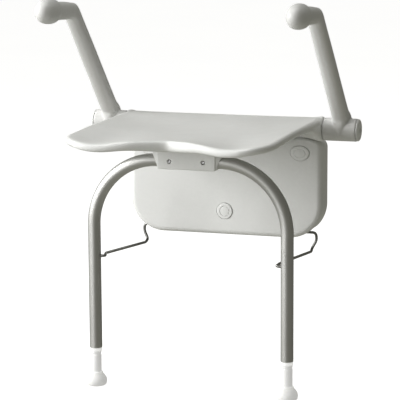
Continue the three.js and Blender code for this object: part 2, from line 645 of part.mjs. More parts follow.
// Leg frame: one bent tube, open at both ends
function legRoute(turns) {
  const reach = TUBE.halfSpan;
  const bend = TUBE.bend;
  const bottom = TUBE.bottomZ - LEG_PIVOT.z;
  const points = [new THREE.Vector3(-reach, 0, bottom)];
  for (let i = 0; i <= turns; i++) {
    const a = Math.PI - (i / turns) * (Math.PI / 2);
    points.push(new THREE.Vector3(-reach + bend + bend * Math.cos(a), 0, -bend + bend * Math.sin(a)));
  }
  const leftBend = points.slice(1).reverse();
  for (const point of leftBend) points.push(new THREE.Vector3(-point.x, 0, point.z));
  points.push(new THREE.Vector3(reach, 0, bottom));
  return points;
}

function legFrame() {
  const route = legRoute(8);
  const across = new THREE.Vector3(0, 1, 0);
  const outer = sweepRings(route, 18, () => [TUBE.radius, TUBE.radius], across);
  const bore = TUBE.radius - TUBE.wall;
  const inner = sweepRings(route, 18, () => [bore, bore], across).reverse();
  const cut = [-1, 1].map((side) => rod(3.1, -6, 6, 'x', 12)
    .translate(side * (TUBE.halfSpan - TUBE.radius), 0, -STAY_PIVOT_DROP));
  return carve(bodyFromRings([...outer, ...inner], true), { cut });
}

place(legs, 'leg_frame', legFrame(), ALUMINIUM);

// Foot ends: a ring under the tube, a stem that telescopes in the tube, and a rubber tip
const LOCAL_FLOOR = FLOOR_Z - LEG_PIVOT.z;
const TUBE_END = TUBE.bottomZ - LEG_PIVOT.z;
const stemTop = STEM.top - LEG_PIVOT.z;
const stemBottom = STEM.bottom - LEG_PIVOT.z;
const stemR = STEM.radius;
const STEM_PROFILE = [[0, stemBottom], [stemR - 1, stemBottom], [stemR, stemBottom + 1], [stemR, TUBE_END - 15],
  [stemR - 0.8, TUBE_END - 14], [stemR - 0.8, TUBE_END - 12], [stemR, TUBE_END - 11], [stemR, stemTop - 2],
  [stemR - 2, stemTop], [0, stemTop]];
const TIP_PROFILE = [[0, 0], [15.5, 0], [18.5, 1.2], [20.6, 4.5], [TIP.radius, 9.5], [20.8, 14.5], [18.4, 19],
  [15.2, 22.6], [13.1, 25], [12.6, TIP.height], [stemR + GAP, TIP.height], [stemR + GAP, 13.5], [0, 13.5]];
const END_RING_PROFILE = [[stemR + GAP, -7], [stemR + 1, -7], [stemR + 1.3, -6], [stemR + 1.3, -4.6],
  [stemR + 0.8, -4.1], [stemR + 0.8, -3.4], [stemR + 1.3, -2.9], [stemR + 1.3, -GAP], [stemR + GAP, -GAP],
  [stemR + GAP, -7]];
for (const [side, name] of [[-1, 'left'], [1, 'right']]) {
  const x = side * TUBE.halfSpan;
  place(legs, `tube_end_ring_${name}`, turned(END_RING_PROFILE, 'z'), WHITE).position.set(x, 0, TUBE_END);
  const foot = new THREE.Group();
  foot.position.set(x, 0, 0);
  legs.add(foot);
  place(foot, `foot_stem_${name}`, turned(STEM_PROFILE, 'z'), WHITE);
  place(foot, `foot_tip_${name}`, turned(TIP_PROFILE, 'z'), WHITE).position.set(0, 0, LOCAL_FLOOR);
}

// Stay wire: one bent bail, hooked into both legs and lying in the lower lugs of the wall bracket
function stayCorners(side) {
  const fromPivot = (x, y, z) => new THREE.Vector3(side * x, y - LEG_PIVOT.y, z - LEG_PIVOT.z);
  const hookZ = LEG_PIVOT.z - STAY_PIVOT_DROP;
  return [
    fromPivot(TUBE.halfSpan - 5, LEG_PIVOT.y, hookZ),
    fromPivot(WIRE.runX - 1, LEG_PIVOT.y, hookZ),
    fromPivot(WIRE.runX, LEG_PIVOT.y + 1, hookZ + WIRE.hookRise),
    fromPivot(WIRE.crankX, STAY_WALL.y - 2, WIRE.low),
    fromPivot(WIRE.crankX + 1, STAY_WALL.y + 2, WIRE.low + 18),
    fromPivot(WIRE.crankX, STAY_WALL.y, STAY_WALL.z),
  ];
}

function stayWire() {
  const corners = [...stayCorners(-1), ...stayCorners(1).reverse()];
  const route = roundedRoute(corners, 9, 3);
  const rings = [];
  let up = new THREE.Vector3(0, 0, 1);
  route.forEach((point, i) => {
    const before = route[Math.max(i - 1, 0)];
    const after = route[Math.min(i + 1, route.length - 1)];
    const along = after.clone().sub(before).normalize();
    up = up.clone().addScaledVector(along, -up.dot(along)).normalize();
    const side = new THREE.Vector3().crossVectors(along, up);
    rings.push(Array.from({ length: 8 }, (_, k) => {
      const angle = (2 * Math.PI * k) / 8;
      return point.clone().addScaledVector(side, WIRE.radius * Math.cos(angle))
        .addScaledVector(up, WIRE.radius * Math.sin(angle));
    }));
  });
  return bodyFromRings(rings);
}

place(legs, 'stay_wire', stayWire(), STEEL);

export default root;
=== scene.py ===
import math

import bmesh
import bpy
import numpy as np
from mathutils import Matrix, Vector


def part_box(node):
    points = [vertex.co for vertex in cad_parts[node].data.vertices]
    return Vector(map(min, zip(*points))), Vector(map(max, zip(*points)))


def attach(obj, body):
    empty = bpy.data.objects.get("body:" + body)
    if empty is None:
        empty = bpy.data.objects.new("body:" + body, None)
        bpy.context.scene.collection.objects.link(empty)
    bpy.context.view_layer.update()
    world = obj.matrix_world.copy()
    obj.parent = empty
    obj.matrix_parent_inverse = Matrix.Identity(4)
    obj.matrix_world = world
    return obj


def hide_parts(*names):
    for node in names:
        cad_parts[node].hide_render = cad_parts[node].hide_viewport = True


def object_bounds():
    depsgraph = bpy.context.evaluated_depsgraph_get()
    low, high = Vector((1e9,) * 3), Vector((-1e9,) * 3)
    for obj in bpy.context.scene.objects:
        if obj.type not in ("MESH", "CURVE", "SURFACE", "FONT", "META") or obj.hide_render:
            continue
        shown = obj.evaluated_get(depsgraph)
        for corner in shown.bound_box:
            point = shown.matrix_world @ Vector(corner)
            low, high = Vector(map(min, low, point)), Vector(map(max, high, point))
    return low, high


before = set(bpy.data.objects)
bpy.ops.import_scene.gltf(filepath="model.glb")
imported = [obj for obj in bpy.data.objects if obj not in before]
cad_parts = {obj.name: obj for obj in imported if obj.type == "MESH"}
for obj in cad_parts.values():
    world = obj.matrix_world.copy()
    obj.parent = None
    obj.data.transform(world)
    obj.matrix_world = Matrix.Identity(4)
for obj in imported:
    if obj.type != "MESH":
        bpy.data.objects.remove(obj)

cad_low, cad_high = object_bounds()
MM = 0.001
SIDES = ((-1, "left"), (1, "right"))


# Places read from the frame
def node_box(name):
    low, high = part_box(name)
    return Vector(low), Vector(high)


def node_centre(name):
    low, high = node_box(name)
    return (low + high) / 2


HINGE = node_centre("hinge_axle")
SEAT_LOW = node_box("seat")[0]
COVER_LOW, COVER_HIGH = node_box("wall_cover")
TUBE_LOW, TUBE_HIGH = node_box("leg_frame")
HUB_END = node_box("arm_right")[1].x
FLOOR_Z = cad_low.z

TUBE_RADIUS = (TUBE_HIGH.y - TUBE_LOW.y) / 2
TUBE_AXIS = Vector((0, (TUBE_HIGH.y + TUBE_LOW.y) / 2, TUBE_HIGH.z - TUBE_RADIUS))
TUBE_SPAN = TUBE_HIGH.x - TUBE_RADIUS
TUBE_BEND = 133 * MM
TUBE_WALL = 1.5 * MM


# Node graphs for the finishes
class Graph:
    def __init__(self, name):
        self.material = bpy.data.materials.new(name)
        self.material.use_nodes = True
        self.tree = self.material.node_tree
        self.tree.nodes.clear()
        self.output = self.node("ShaderNodeOutputMaterial")
        self.place = self.node("ShaderNodeTexCoord").outputs["Object"]

    def node(self, kind, inputs=None, **settings):
        made = self.tree.nodes.new(kind)
        for key, value in settings.items():
            setattr(made, key, value)
        for key, value in (inputs or {}).items():
            self.feed(made.inputs[key], value)
        return made

    def feed(self, socket, value):
        if isinstance(value, bpy.types.NodeSocket):
            self.tree.links.new(value, socket)
        else:
            socket.default_value = value

    def stretched(self, scale, source=None):
        inputs = {"Vector": source or self.place, "Scale": scale}
        return self.node("ShaderNodeMapping", inputs).outputs["Vector"]

    def noise(self, scale, detail=2.0, rough=0.5, source=None, distortion=0.0):
        inputs = {
            "Vector": source or self.place, "Scale": scale, "Detail": detail,
            "Roughness": rough, "Distortion": distortion,
        }
        return self.node("ShaderNodeTexNoise", inputs).outputs["Fac"]

    def cells(self, scale, output="Distance", source=None):
        inputs = {"Vector": source or self.place, "Scale": scale}
        return self.node("ShaderNodeTexVoronoi", inputs).outputs[output]

    def span(self, value, low, high, to_low=0.0, to_high=1.0):
        inputs = {"Value": value, "From Min": low, "From Max": high, "To Min": to_low, "To Max": to_high}
        return self.node("ShaderNodeMapRange", inputs, clamp=True).outputs["Result"]

    def math(self, operation, a, b=0.0):
        made = self.node("ShaderNodeMath", operation=operation)
        self.feed(made.inputs[0], a)
        self.feed(made.inputs[1], b)
        return made.outputs[0]

    def mix(self, factor, a, b):
        made = self.node("ShaderNodeMix", data_type="RGBA")
        self.feed(made.inputs["Factor"], factor)
        self.feed(made.inputs[6], a if isinstance(a, bpy.types.NodeSocket) else (*a, 1.0))
        self.feed(made.inputs[7], b if isinstance(b, bpy.types.NodeSocket) else (*b, 1.0))
        return made.outputs[2]

    def edges(self, low, high):
        pointed = self.node("ShaderNodeNewGeometry").outputs["Pointiness"]
        return self.span(pointed, low, high)

    def bump(self, height, strength, distance, under=None):
        inputs = {"Height": height, "Strength": strength, "Distance": distance}
        if under is not None:
            inputs["Normal"] = under
        return self.node("ShaderNodeBump", inputs).outputs["Normal"]

    def surface(self, **inputs):
        named = {key.replace("_", " "): value for key, value in inputs.items()}
        shader = self.node("ShaderNodeBsdfPrincipled", named)
        self.feed(self.output.inputs["Surface"], shader.outputs["BSDF"])
        return self.material


def shade(colour, factor):
    return tuple(channel * factor for channel in colour)


def moulded_plastic(name, colour, grain=1500.0, gloss=0.42, wear=0.5, **extra):
    """Injection-moulded plastic: fine spark grain, faint flow clouds, rare specks and paler rubbed edges."""
    g = Graph(name)
    clouds = g.span(g.noise(9.0, 4.0, 0.6, distortion=0.6), 0.3, 0.7)
    tint = g.mix(clouds, shade(colour, 0.955), shade(colour, 1.02))
    mottle = g.span(g.noise(160.0, 3.0), 0.35, 0.65, 0.0, 0.35)
    tint = g.mix(mottle, tint, shade(colour, 0.93))
    specks = g.span(g.cells(420.0), 0.035, 0.06, 0.35, 0.0)
    tint = g.mix(specks, tint, shade(colour, 0.55))
    rubbed = g.math("MULTIPLY", g.edges(0.52, 0.62), g.span(g.noise(70.0, 4.0), 0.4, 0.65, 0.0, wear))
    tint = g.mix(rubbed, tint, tuple(min(c * 1.12 + 0.02, 0.95) for c in colour))
    rough = g.span(g.noise(26.0, 5.0, 0.6), 0.3, 0.7, gloss - 0.06, gloss + 0.07)
    rough = g.math("ADD", rough, g.span(g.noise(600.0, 2.0), 0.3, 0.7, -0.03, 0.03))
    wave = g.bump(g.noise(34.0, 2.0), 0.10, 0.0012)
    pebble = g.bump(g.noise(grain, 2.0, 0.55), 0.16, 0.00018, wave)
    return g.surface(Base_Color=tint, Roughness=rough, Normal=pebble, IOR=1.47, **extra)


def satin_aluminium(name, colour):
    """Drawn and anodised tube: fine lines along the tube, faint cloudy patches, short handling scratches."""
    g = Graph(name)
    along = g.node("ShaderNodeUVMap", uv_map="along").outputs["UV"]
    lines = g.noise(1.0, 3.0, 0.6, g.stretched((14.0, 900.0, 1.0), along))
    broad = g.noise(1.0, 2.0, 0.5, g.stretched((5.0, 90.0, 1.0), along))
    scratches = g.span(g.noise(1.0, 2.0, 0.5, g.stretched((120.0, 1400.0, 1.0), along)), 0.66, 0.72)
    clouds = g.span(g.noise(12.0, 4.0), 0.3, 0.7)
    tint = g.mix(clouds, shade(colour, 0.92), shade(colour, 1.03))
    tint = g.mix(g.span(lines, 0.35, 0.65, 0.0, 0.5), tint, shade(colour, 0.84))
    tint = g.mix(g.math("MULTIPLY", scratches, 0.35), tint, shade(colour, 1.25))
    rough = g.span(broad, 0.3, 0.7, 0.47, 0.56)
    rough = g.math("ADD", rough, g.span(lines, 0.3, 0.7, -0.05, 0.05))
    normal = g.bump(lines, 0.12, 0.00012)
    return g.surface(Base_Color=tint, Metallic=1.0, Roughness=rough, Normal=normal)


def drawn_steel(name, colour, gloss=0.33, stain=0.4):
    """Drawn steel wire and bar: dull patches, a few brown stains and small die lines."""
    g = Graph(name)
    patches = g.span(g.noise(60.0, 4.0, 0.6), 0.3, 0.7)
    tint = g.mix(patches, shade(colour, 0.8), shade(colour, 1.15))
    spots = g.span(g.noise(210.0, 5.0, 0.65), 0.6, 0.72, 0.0, stain)
    tint = g.mix(spots, tint, (colour[0] * 0.55, colour[1] * 0.45, colour[2] * 0.36))
    rough = g.span(g.noise(95.0, 4.0), 0.3, 0.7, gloss - 0.07, gloss + 0.12)
    normal = g.bump(g.noise(900.0, 3.0), 0.14, 0.0001)
    return g.surface(Base_Color=tint, Metallic=1.0, Roughness=rough, Normal=normal)


def zinc_plated(name, colour, spangle=150.0):
    """Zinc-coated steel: a soft spangle of cells, each a little lighter or duller, with a dusty haze."""
    g = Graph(name)
    warped = g.node("ShaderNodeVectorMath", operation="ADD")
    g.feed(warped.inputs[0], g.place)
    shift = g.node("ShaderNodeTexNoise", {"Vector": g.place, "Scale": 260.0}).outputs["Color"]
    scaled = g.node("ShaderNodeVectorMath", {"Scale": 0.003}, operation="SCALE")
    g.feed(scaled.inputs[0], shift)
    g.feed(warped.inputs[1], scaled.outputs[0])
    cell = g.cells(spangle, "Color", source=warped.outputs[0])
    value = g.node("ShaderNodeSeparateColor", {"Color": cell}).outputs["Red"]
    tint = g.mix(value, shade(colour, 0.78), shade(colour, 1.12))
    haze = g.span(g.noise(30.0, 4.0), 0.45, 0.7, 0.0, 0.4)
    tint = g.mix(haze, tint, shade(colour, 0.9))
    rough = g.math("ADD", g.span(value, 0.0, 1.0, 0.38, 0.52), g.math("MULTIPLY", haze, 0.2))
    normal = g.bump(g.cells(spangle, "Distance", source=warped.outputs[0]), 0.08, 0.0002)
    return g.surface(Base_Color=tint, Metallic=0.92, Roughness=rough, Normal=normal)


# Milky white of the feet: real translucency, plus painted light, a faint emission that makes them glow so
# that they look nearly as bright as the background behind them.
MILKY_WITH_PAINTED_GLOW = {
    "Subsurface_Weight": 0.7, "Subsurface_Radius": (0.009, 0.009, 0.008), "Subsurface_Scale": 1.0,
    "Emission_Color": (1, 1, 1, 1), "Emission_Strength": 0.33,
}
DIRT_HEIGHT = 7 * MM


def foot_rubber(name, colour):
    """Soft moulded rubber: matt bloom, fine pits, floor dirt rubbed into the lowest few millimetres and a
    faint emission that paints light on it.
    """
    g = Graph(name)
    height = g.node("ShaderNodeSeparateXYZ", {"Vector": g.place}).outputs["Z"]
    clouds = g.span(g.noise(55.0, 4.0), 0.3, 0.7)
    tint = g.mix(clouds, shade(colour, 0.95), shade(colour, 1.02))
    low = g.span(height, FLOOR_Z, FLOOR_Z + DIRT_HEIGHT, 1.0, 0.0)
    dirt = g.math("MULTIPLY", low, g.span(g.noise(240.0, 5.0, 0.65), 0.35, 0.7, 0.05, 0.5))
    tint = g.mix(dirt, tint, (0.33, 0.32, 0.29))
    pits = g.span(g.cells(800.0), 0.05, 0.14, 0.25, 0.0)
    tint = g.mix(pits, tint, shade(colour, 0.75))
    rough = g.span(g.noise(90.0, 3.0), 0.3, 0.7, 0.5, 0.66)
    normal = g.bump(g.noise(1100.0, 3.0, 0.6), 0.22, 0.0002)
    # The emission in the extra settings paints a faint glow on the tip, as if it were lit.
    return g.surface(Base_Color=tint, Roughness=rough, Normal=normal, IOR=1.5, **MILKY_WITH_PAINTED_GLOW)


SEAT_PLASTIC = moulded_plastic("seat_plastic", (0.715, 0.72, 0.71))
ARM_PLASTIC = moulded_plastic("arm_plastic", (0.61, 0.61, 0.60), grain=1300.0, gloss=0.46)
COVER_PLASTIC = moulded_plastic("cover_plastic", (0.715, 0.72, 0.71), grain=1700.0, gloss=0.48, wear=0.3)
CAP_PLASTIC = moulded_plastic("cap_plastic", (0.72, 0.725, 0.715), grain=1900.0, gloss=0.4)
BUSH_NYLON = moulded_plastic("bush_nylon", (0.26, 0.27, 0.26), grain=2200.0, gloss=0.36, wear=0.2)
# White plastic of the rings and stems: translucent, and its emission paints a faint glow, as if it were lit.
WHITE_PLASTIC = moulded_plastic(
    "white_plastic", (0.60, 0.60, 0.60), grain=2100.0, gloss=0.36, wear=0.2, **MILKY_WITH_PAINTED_GLOW)
TUBE_METAL = satin_aluminium("satin_aluminium", (0.52, 0.52, 0.505))
WIRE_STEEL = drawn_steel("wire_steel", (0.24, 0.24, 0.23))
AXLE_STEEL = drawn_steel("axle_steel", (0.42, 0.42, 0.42), gloss=0.26, stain=0.15)
ZINC = zinc_plated("zinc_plate", (0.56, 0.57, 0.57))
SCREW_ZINC = zinc_plated("screw_zinc", (0.60, 0.60, 0.58), spangle=700.0)
RUBBER = foot_rubber("foot_rubber", (0.57, 0.57, 0.565))


# Mesh making
def new_object(name, points, faces):
    mesh = bpy.data.meshes.new(name)
    mesh.from_pydata([tuple(p) for p in points], [], faces)
    mesh.update()
    made = bpy.data.objects.new(name, mesh)
    bpy.context.scene.collection.objects.link(made)
    make_outward(made)
    for polygon in mesh.polygons:
        polygon.use_smooth = True
    return made


def face_outward(work):
    bmesh.ops.recalc_face_normals(work, faces=work.faces)
    if work.calc_volume(signed=True) < 0:
        bmesh.ops.reverse_faces(work, faces=work.faces)


def make_outward(made):
    work = bmesh.new()
    work.from_mesh(made.data)
    face_outward(work)
    work.to_mesh(made.data)
    work.free()


def ring_faces(rings, count, closed):
    faces = []
    for r in range(rings if closed else rings - 1):
        a = r * count
        b = ((r + 1) % rings) * count
        faces += [(a + i, a + (i + 1) % count, b + (i + 1) % count, b + i) for i in range(count)]
    if not closed:
        faces.append(tuple(reversed(range(count))))
        faces.append(tuple(range((rings - 1) * count, rings * count)))
    return faces


def lofted(name, rings, closed=False):
    points = [p for ring in rings for p in ring]
    return new_object(name, points, ring_faces(len(rings), len(rings[0]), closed))


def corner_arc(start, corner, end, steps):
    """Points of the soft curve that replaces a corner."""
    shares = [i / steps for i in range(steps + 1)]
    return [start * (1 - t) ** 2 + corner * 2 * t * (1 - t) + end * t ** 2 for t in shares]


def signed_power(value, power):
    return math.copysign(abs(value) ** power, value)


def eased(profile, radius):
    """A profile of (r, h) points with each inner corner replaced by a small arc."""
    points = [Vector(p) for p in profile]
    out = [points[0]]
    for before, corner, after in zip(points, points[1:], points[2:]):
        back = before - corner
        ahead = after - corner
        straight = back.normalized().dot(ahead.normalized()) < -0.995
        reach = min(radius, back.length * 0.45, ahead.length * 0.45)
        if straight or reach <= 0:
            out.append(corner)
            continue
        out += corner_arc(corner + back.normalized() * reach, corner, corner + ahead.normalized() * reach, 4)
    out.append(points[-1])
    return out


AXES = {
    "x": (Vector((1, 0, 0)), Vector((0, 1, 0)), Vector((0, 0, 1))),
    "y": (Vector((0, 1, 0)), Vector((0, 0, 1)), Vector((1, 0, 0))),
    "z": (Vector((0, 0, 1)), Vector((1, 0, 0)), Vector((0, 1, 0))),
}


def turned(name, profile, centre, axis="x", sides=96, ease=0.4 * MM, stretch=(1.0, 1.0)):
    """A lathe-turned body. Profile points are (radius, distance along the axis)."""
    along, first, second = AXES[axis]
    rings = []
    for r, h in eased(profile, ease):
        ring = []
        for i in range(sides):
            angle = 2 * math.pi * i / sides
            u = first * (math.cos(angle) * stretch[0]) + second * (math.sin(angle) * stretch[1])
            ring.append(centre + along * h + u * max(r, 1e-6))
        rings.append(ring)
    made = lofted(name, rings, closed=profile[0] == profile[-1])
    clean(made)
    return made


SAME_POINT = 2e-6


def clean(made):
    work = bmesh.new()
    work.from_mesh(made.data)
    bmesh.ops.remove_doubles(work, verts=work.verts, dist=SAME_POINT)
    bmesh.ops.dissolve_degenerate(work, edges=work.edges, dist=SAME_POINT)
    face_outward(work)
    work.to_mesh(made.data)
    work.free()


def swept(name, route, radii, sides, across=Vector((1, 0, 0)), squareness=lambda i: 2.0, uv=False):
    """Cross-sections carried along a route, with a superellipse section."""
    rings = []
    lengths = [0.0]
    reference = across
    for i, point in enumerate(route):
        before = route[max(i - 1, 0)]
        after = route[min(i + 1, len(route) - 1)]
        tangent = (after - before).normalized()
        side = (reference - tangent * reference.dot(tangent)).normalized()
        reference = side
        up = tangent.cross(side)
        a, b = radii(i)
        power = 2 / squareness(i)
        ring = []
        for k in range(sides):
            angle = 2 * math.pi * k / sides
            c, s = math.cos(angle), math.sin(angle)
            ring.append(point + side * (a * signed_power(c, power)) + up * (b * signed_power(s, power)))
        rings.append(ring)
        if i:
            lengths.append(lengths[-1] + (point - before).length)
    made = lofted(name, rings)
    if uv:
        lay_uv(made, lengths, sides)
    return made


def lay_uv(made, lengths, sides):
    """Length along the sweep and share of the way round, for finishes that follow a tube."""
    layer = made.data.uv_layers.new(name="along")
    for polygon in made.data.polygons:
        where = [(v // sides, v % sides) for v in polygon.vertices]
        wraps = {k for _, k in where} >= {0, sides - 1} and len(where) == 4
        for loop, (r, k) in zip(polygon.loop_indices, where):
            turn = 1.0 if wraps and k == 0 else k / sides
            layer.data[loop].uv = (lengths[min(r, len(lengths) - 1)], turn)


def apply_modifiers(made):
    bpy.context.view_layer.update()
    graph = bpy.context.evaluated_depsgraph_get()
    done = bpy.data.meshes.new_from_object(made.evaluated_get(graph))
    made.modifiers.clear()
    old = made.data
    made.data = done
    bpy.data.meshes.remove(old)


def cut_by(made, cutters):
    for cutter in cutters:
        change = made.modifiers.new("cut", "BOOLEAN")
        change.operation = "DIFFERENCE"
        change.solver = "EXACT"
        change.object = cutter
        apply_modifiers(made)
    for cutter in cutters:
        bpy.data.objects.remove(cutter)


def joined(name, parts):
    work = bmesh.new()
    for part in parts:
        work.from_mesh(part.data)
        bpy.data.objects.remove(part)
    mesh = bpy.data.meshes.new(name)
    work.to_mesh(mesh)
    work.free()
    made = bpy.data.objects.new(name, mesh)
    bpy.context.scene.collection.objects.link(made)
    return made


def fused(made, voxel, passes):
    """Melts overlapping closed bodies into one skin and softens where they meet."""
    skin = made.modifiers.new("skin", "REMESH")
    skin.mode = "VOXEL"
    skin.voxel_size = voxel
    apply_modifiers(made)
    soft = made.modifiers.new("soft", "SMOOTH")
    soft.factor = 0.5
    soft.iterations = passes
    apply_modifiers(made)
    for polygon in made.data.polygons:
        polygon.use_smooth = True


def shaded(made, angle=35):
    made.data.shade_smooth()
    sharp = math.radians(angle)
    work = bmesh.new()
    work.from_mesh(made.data)
    for edge in work.edges:
        if len(edge.link_faces) == 2 and edge.calc_face_angle(0.0) > sharp:
            edge.smooth = False
    work.to_mesh(made.data)
    work.free()


def finished(made, body, material, slot, *nodes, angle=35):
    shaded(made, angle)
    made.data.materials.clear()
    made.data.materials.append(material)
    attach(made, body)
    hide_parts(*nodes)


def mirrored(made, name):
    copy = bpy.data.objects.new(name, made.data.copy())
    bpy.context.scene.collection.objects.link(copy)
    copy.data.transform(Matrix.Scale(-1, 4, (1, 0, 0)))
    make_outward(copy)
    return copy


def rod(name, radius, start, end, centre, axis="x", sides=64):
    return turned(name, [(0, start), (radius, start), (radius, end), (0, end)], centre, axis, sides, ease=0)


def smooth_step(low, high, value):
    t = min(max((value - low) / (high - low), 0.0), 1.0)
    return t * t * (3 - 2 * t)


# Seat
SEAT_HALF = 207 * MM
SEAT_REAR = HINGE.y + 4 * MM
SEAT_LOBE = SEAT_LOW.y
SEAT_NOTCH = SEAT_LOBE + 44 * MM
SEAT_CORNER = 65 * MM
SEAT_CROWN = HINGE.z + 24 * MM
SEAT_DISH = 12 * MM
SEAT_RIM = 15 * MM
EAR_INNER, EAR_OUTER = 163 * MM, 208 * MM
EAR_SMALL, EAR_LARGE = 18 * MM, 25 * MM
BUSH_BORE = 9.9 * MM
AXLE_GROOVE = 14.5 * MM
NOTCH_SOFTNESS = 0.004
SEAT_MIDDLE = Vector((0, HINGE.y - 190 * MM))
LOBE_X, LOBE_SPREAD = 128 * MM, 55 * MM
RIM_EXTRA, RIM_EXTRA_SPREAD = 7 * MM, 82 * MM
RIM_ROLL = 11 * MM
RIB_PITCH = 62 * MM
POCKET_DEPTH = 5 * MM
UNDERSIDE_MARGIN = 26 * MM
SKIRT_LENGTH = 190 * MM


def seat_front(x):
    across = abs(x)
    lobe_x = SEAT_HALF - SEAT_CORNER
    if across > lobe_x:
        run = across - lobe_x
        return SEAT_LOBE + SEAT_CORNER - math.sqrt(max(SEAT_CORNER ** 2 - run ** 2, 0))
    t = math.sqrt((across / lobe_x) ** 2 + NOTCH_SOFTNESS) - math.sqrt(NOTCH_SOFTNESS)
    full = math.sqrt(1 + NOTCH_SOFTNESS) - math.sqrt(NOTCH_SOFTNESS)
    return SEAT_NOTCH + (SEAT_LOBE - SEAT_NOTCH) * math.sin(math.pi / 2 * t / full)


def seat_top(x, y):
    across = min(abs(x) / SEAT_HALF, 1.0)
    depth = min(max((SEAT_REAR - y) / (SEAT_REAR - SEAT_LOBE), 0.0), 1.0)
    hollow = max(math.sin(math.pi * min(depth * 1.05, 1.0)), 0.0) ** 0.8
    dish = SEAT_DISH * (1 - across ** 2.2) * hollow
    lobe = math.exp(-(((abs(x) - LOBE_X) / LOBE_SPREAD) ** 2))
    fall = smooth_step(0.5, 1.0, depth) * (3 + 9 * lobe) * MM
    return SEAT_CROWN - dish - fall


def rim_depth(x, y):
    """The front rim hangs a little deeper behind the notch."""
    behind_notch = smooth_step(SEAT_NOTCH + 70 * MM, SEAT_NOTCH + 15 * MM, y)
    return SEAT_RIM + RIM_EXTRA * math.exp(-((x / RIM_EXTRA_SPREAD) ** 2)) * behind_notch


def seat_outline():
    half = SEAT_HALF
    side_end = SEAT_LOBE + SEAT_CORNER
    outline = [(half - 2 * half * i / 70, SEAT_REAR) for i in range(70)]
    outline += [(-half, SEAT_REAR + (side_end - SEAT_REAR) * i / 60) for i in range(60)]
    fronts = 190
    for i in range(fronts):
        bunched = -half * math.cos(math.pi * i / fronts)
        even = -half * (1 - 2 * i / fronts)
        x = (bunched + even) / 2
        outline.append((x, seat_front(x)))
    outline += [(half, side_end + (SEAT_REAR - side_end) * i / 60) for i in range(60)]
    return outline


def underside_relief(x, y):
    """Depth of the moulded panels under the seat: a grid of shallow pockets between ribs."""
    side = SEAT_HALF - UNDERSIDE_MARGIN
    inside_x = smooth_step(side, side - 5 * MM, abs(x))
    front = seat_front(x) + UNDERSIDE_MARGIN
    inside_y = smooth_step(front, front + 5 * MM, y) * smooth_step(HINGE.y - 30 * MM, HINGE.y - 35 * MM, y)
    rib_x = abs((abs(x) / RIB_PITCH + 0.5) % 1.0 - 0.5) * RIB_PITCH
    rib_y = abs(((y - HINGE.y) / RIB_PITCH + 0.5) % 1.0 - 0.5) * RIB_PITCH
    between = smooth_step(1.5 * MM, 5 * MM, rib_x) * smooth_step(1.5 * MM, 5 * MM, rib_y)
    pad_y = TUBE_AXIS.y + 48 * MM
    on_pad = abs(x) < 96 * MM and abs(y - pad_y) < 46 * MM
    return 0.0 if on_pad else POCKET_DEPTH * inside_x * inside_y * between


def seat_slab():
    outline = [Vector(p) for p in seat_outline()]
    count = len(outline)
    inward = []
    for i, here in enumerate(outline):
        run = outline[(i + 2) % count] - outline[i - 2]
        normal = Vector((-run.y, run.x)).normalized()
        towards = SEAT_MIDDLE - here
        inward.append(normal if normal.dot(towards) > 0 else -normal)
    shoulder = [p + n * RIM_ROLL for p, n in zip(outline, inward)]

    def inner_ring(share, lower):
        ring = []
        for p in shoulder:
            q = SEAT_MIDDLE + (p - SEAT_MIDDLE) * share
            z = seat_top(q.x, q.y)
            if lower:
                z += underside_relief(q.x, q.y) - rim_depth(q.x, q.y)
            ring.append(Vector((q.x, q.y, z)))
        return ring

    shares = [0.02 + 0.98 * math.sin(math.pi / 2 * i / 64) for i in range(65)]
    rings = [inner_ring(share, False) for share in shares]
    for i in range(1, 24):
        angle = math.pi / 2 - math.pi * i / 24
        out = RIM_ROLL * (1 - abs(math.cos(angle)) ** 0.72)
        lift = signed_power(math.sin(angle), 0.82) - 1
        ring = []
        for p, n in zip(outline, inward):
            q = p + n * out
            ring.append(Vector((q.x, q.y, seat_top(q.x, q.y) + rim_depth(q.x, q.y) / 2 * lift)))
        rings.append(ring)
    rings += [inner_ring(share, True) for share in reversed(shares)]
    return lofted("slab", rings)


def seat_ear(side):
    """The seat corner swells into a flared housing round the hinge."""
    profile = [
        (0, EAR_INNER), (EAR_SMALL, EAR_INNER), (EAR_SMALL + 1.2 * MM, EAR_INNER + 12 * MM),
        (EAR_LARGE - 2.4 * MM, EAR_OUTER - 18 * MM), (EAR_LARGE, EAR_OUTER - 9 * MM),
        (EAR_LARGE, EAR_OUTER), (0, EAR_OUTER),
    ]
    ear = turned("ear", profile, HINGE, "x", 120, ease=5 * MM)
    if side < 0:
        ear.data.transform(Matrix.Scale(-1, 4, (1, 0, 0)))
        make_outward(ear)
    return ear


def ear_gusset(side):
    """Skirt under the seat's side rim that deepens backwards into the ear."""
    rings = []
    for i in range(41):
        t = i / 40
        y = HINGE.y - 2 * MM - SKIRT_LENGTH * t
        ease = 1 - smooth_step(0.0, 0.45, t)
        low = HINGE.z + 9 * MM - 18 * MM * ease - 8 * MM * (1 - t)
        inner = SEAT_HALF - 14 * MM - 22 * MM * ease
        outer = SEAT_HALF - 1.5 * MM
        high = seat_top(SEAT_HALF - 12 * MM, y) - 5 * MM
        centre = Vector((side * (inner + outer) / 2, y, (low + high) / 2))
        a, b = (outer - inner) / 2, max((high - low) / 2, 1.5 * MM)
        ring = []
        for k in range(32):
            angle = 2 * math.pi * k / 32
            c, s = math.cos(angle), math.sin(angle)
            ring.append(centre + Vector((a * signed_power(c, 0.7), 0, b * signed_power(s, 0.7))))
        rings.append(ring)
    return lofted("gusset", rings)


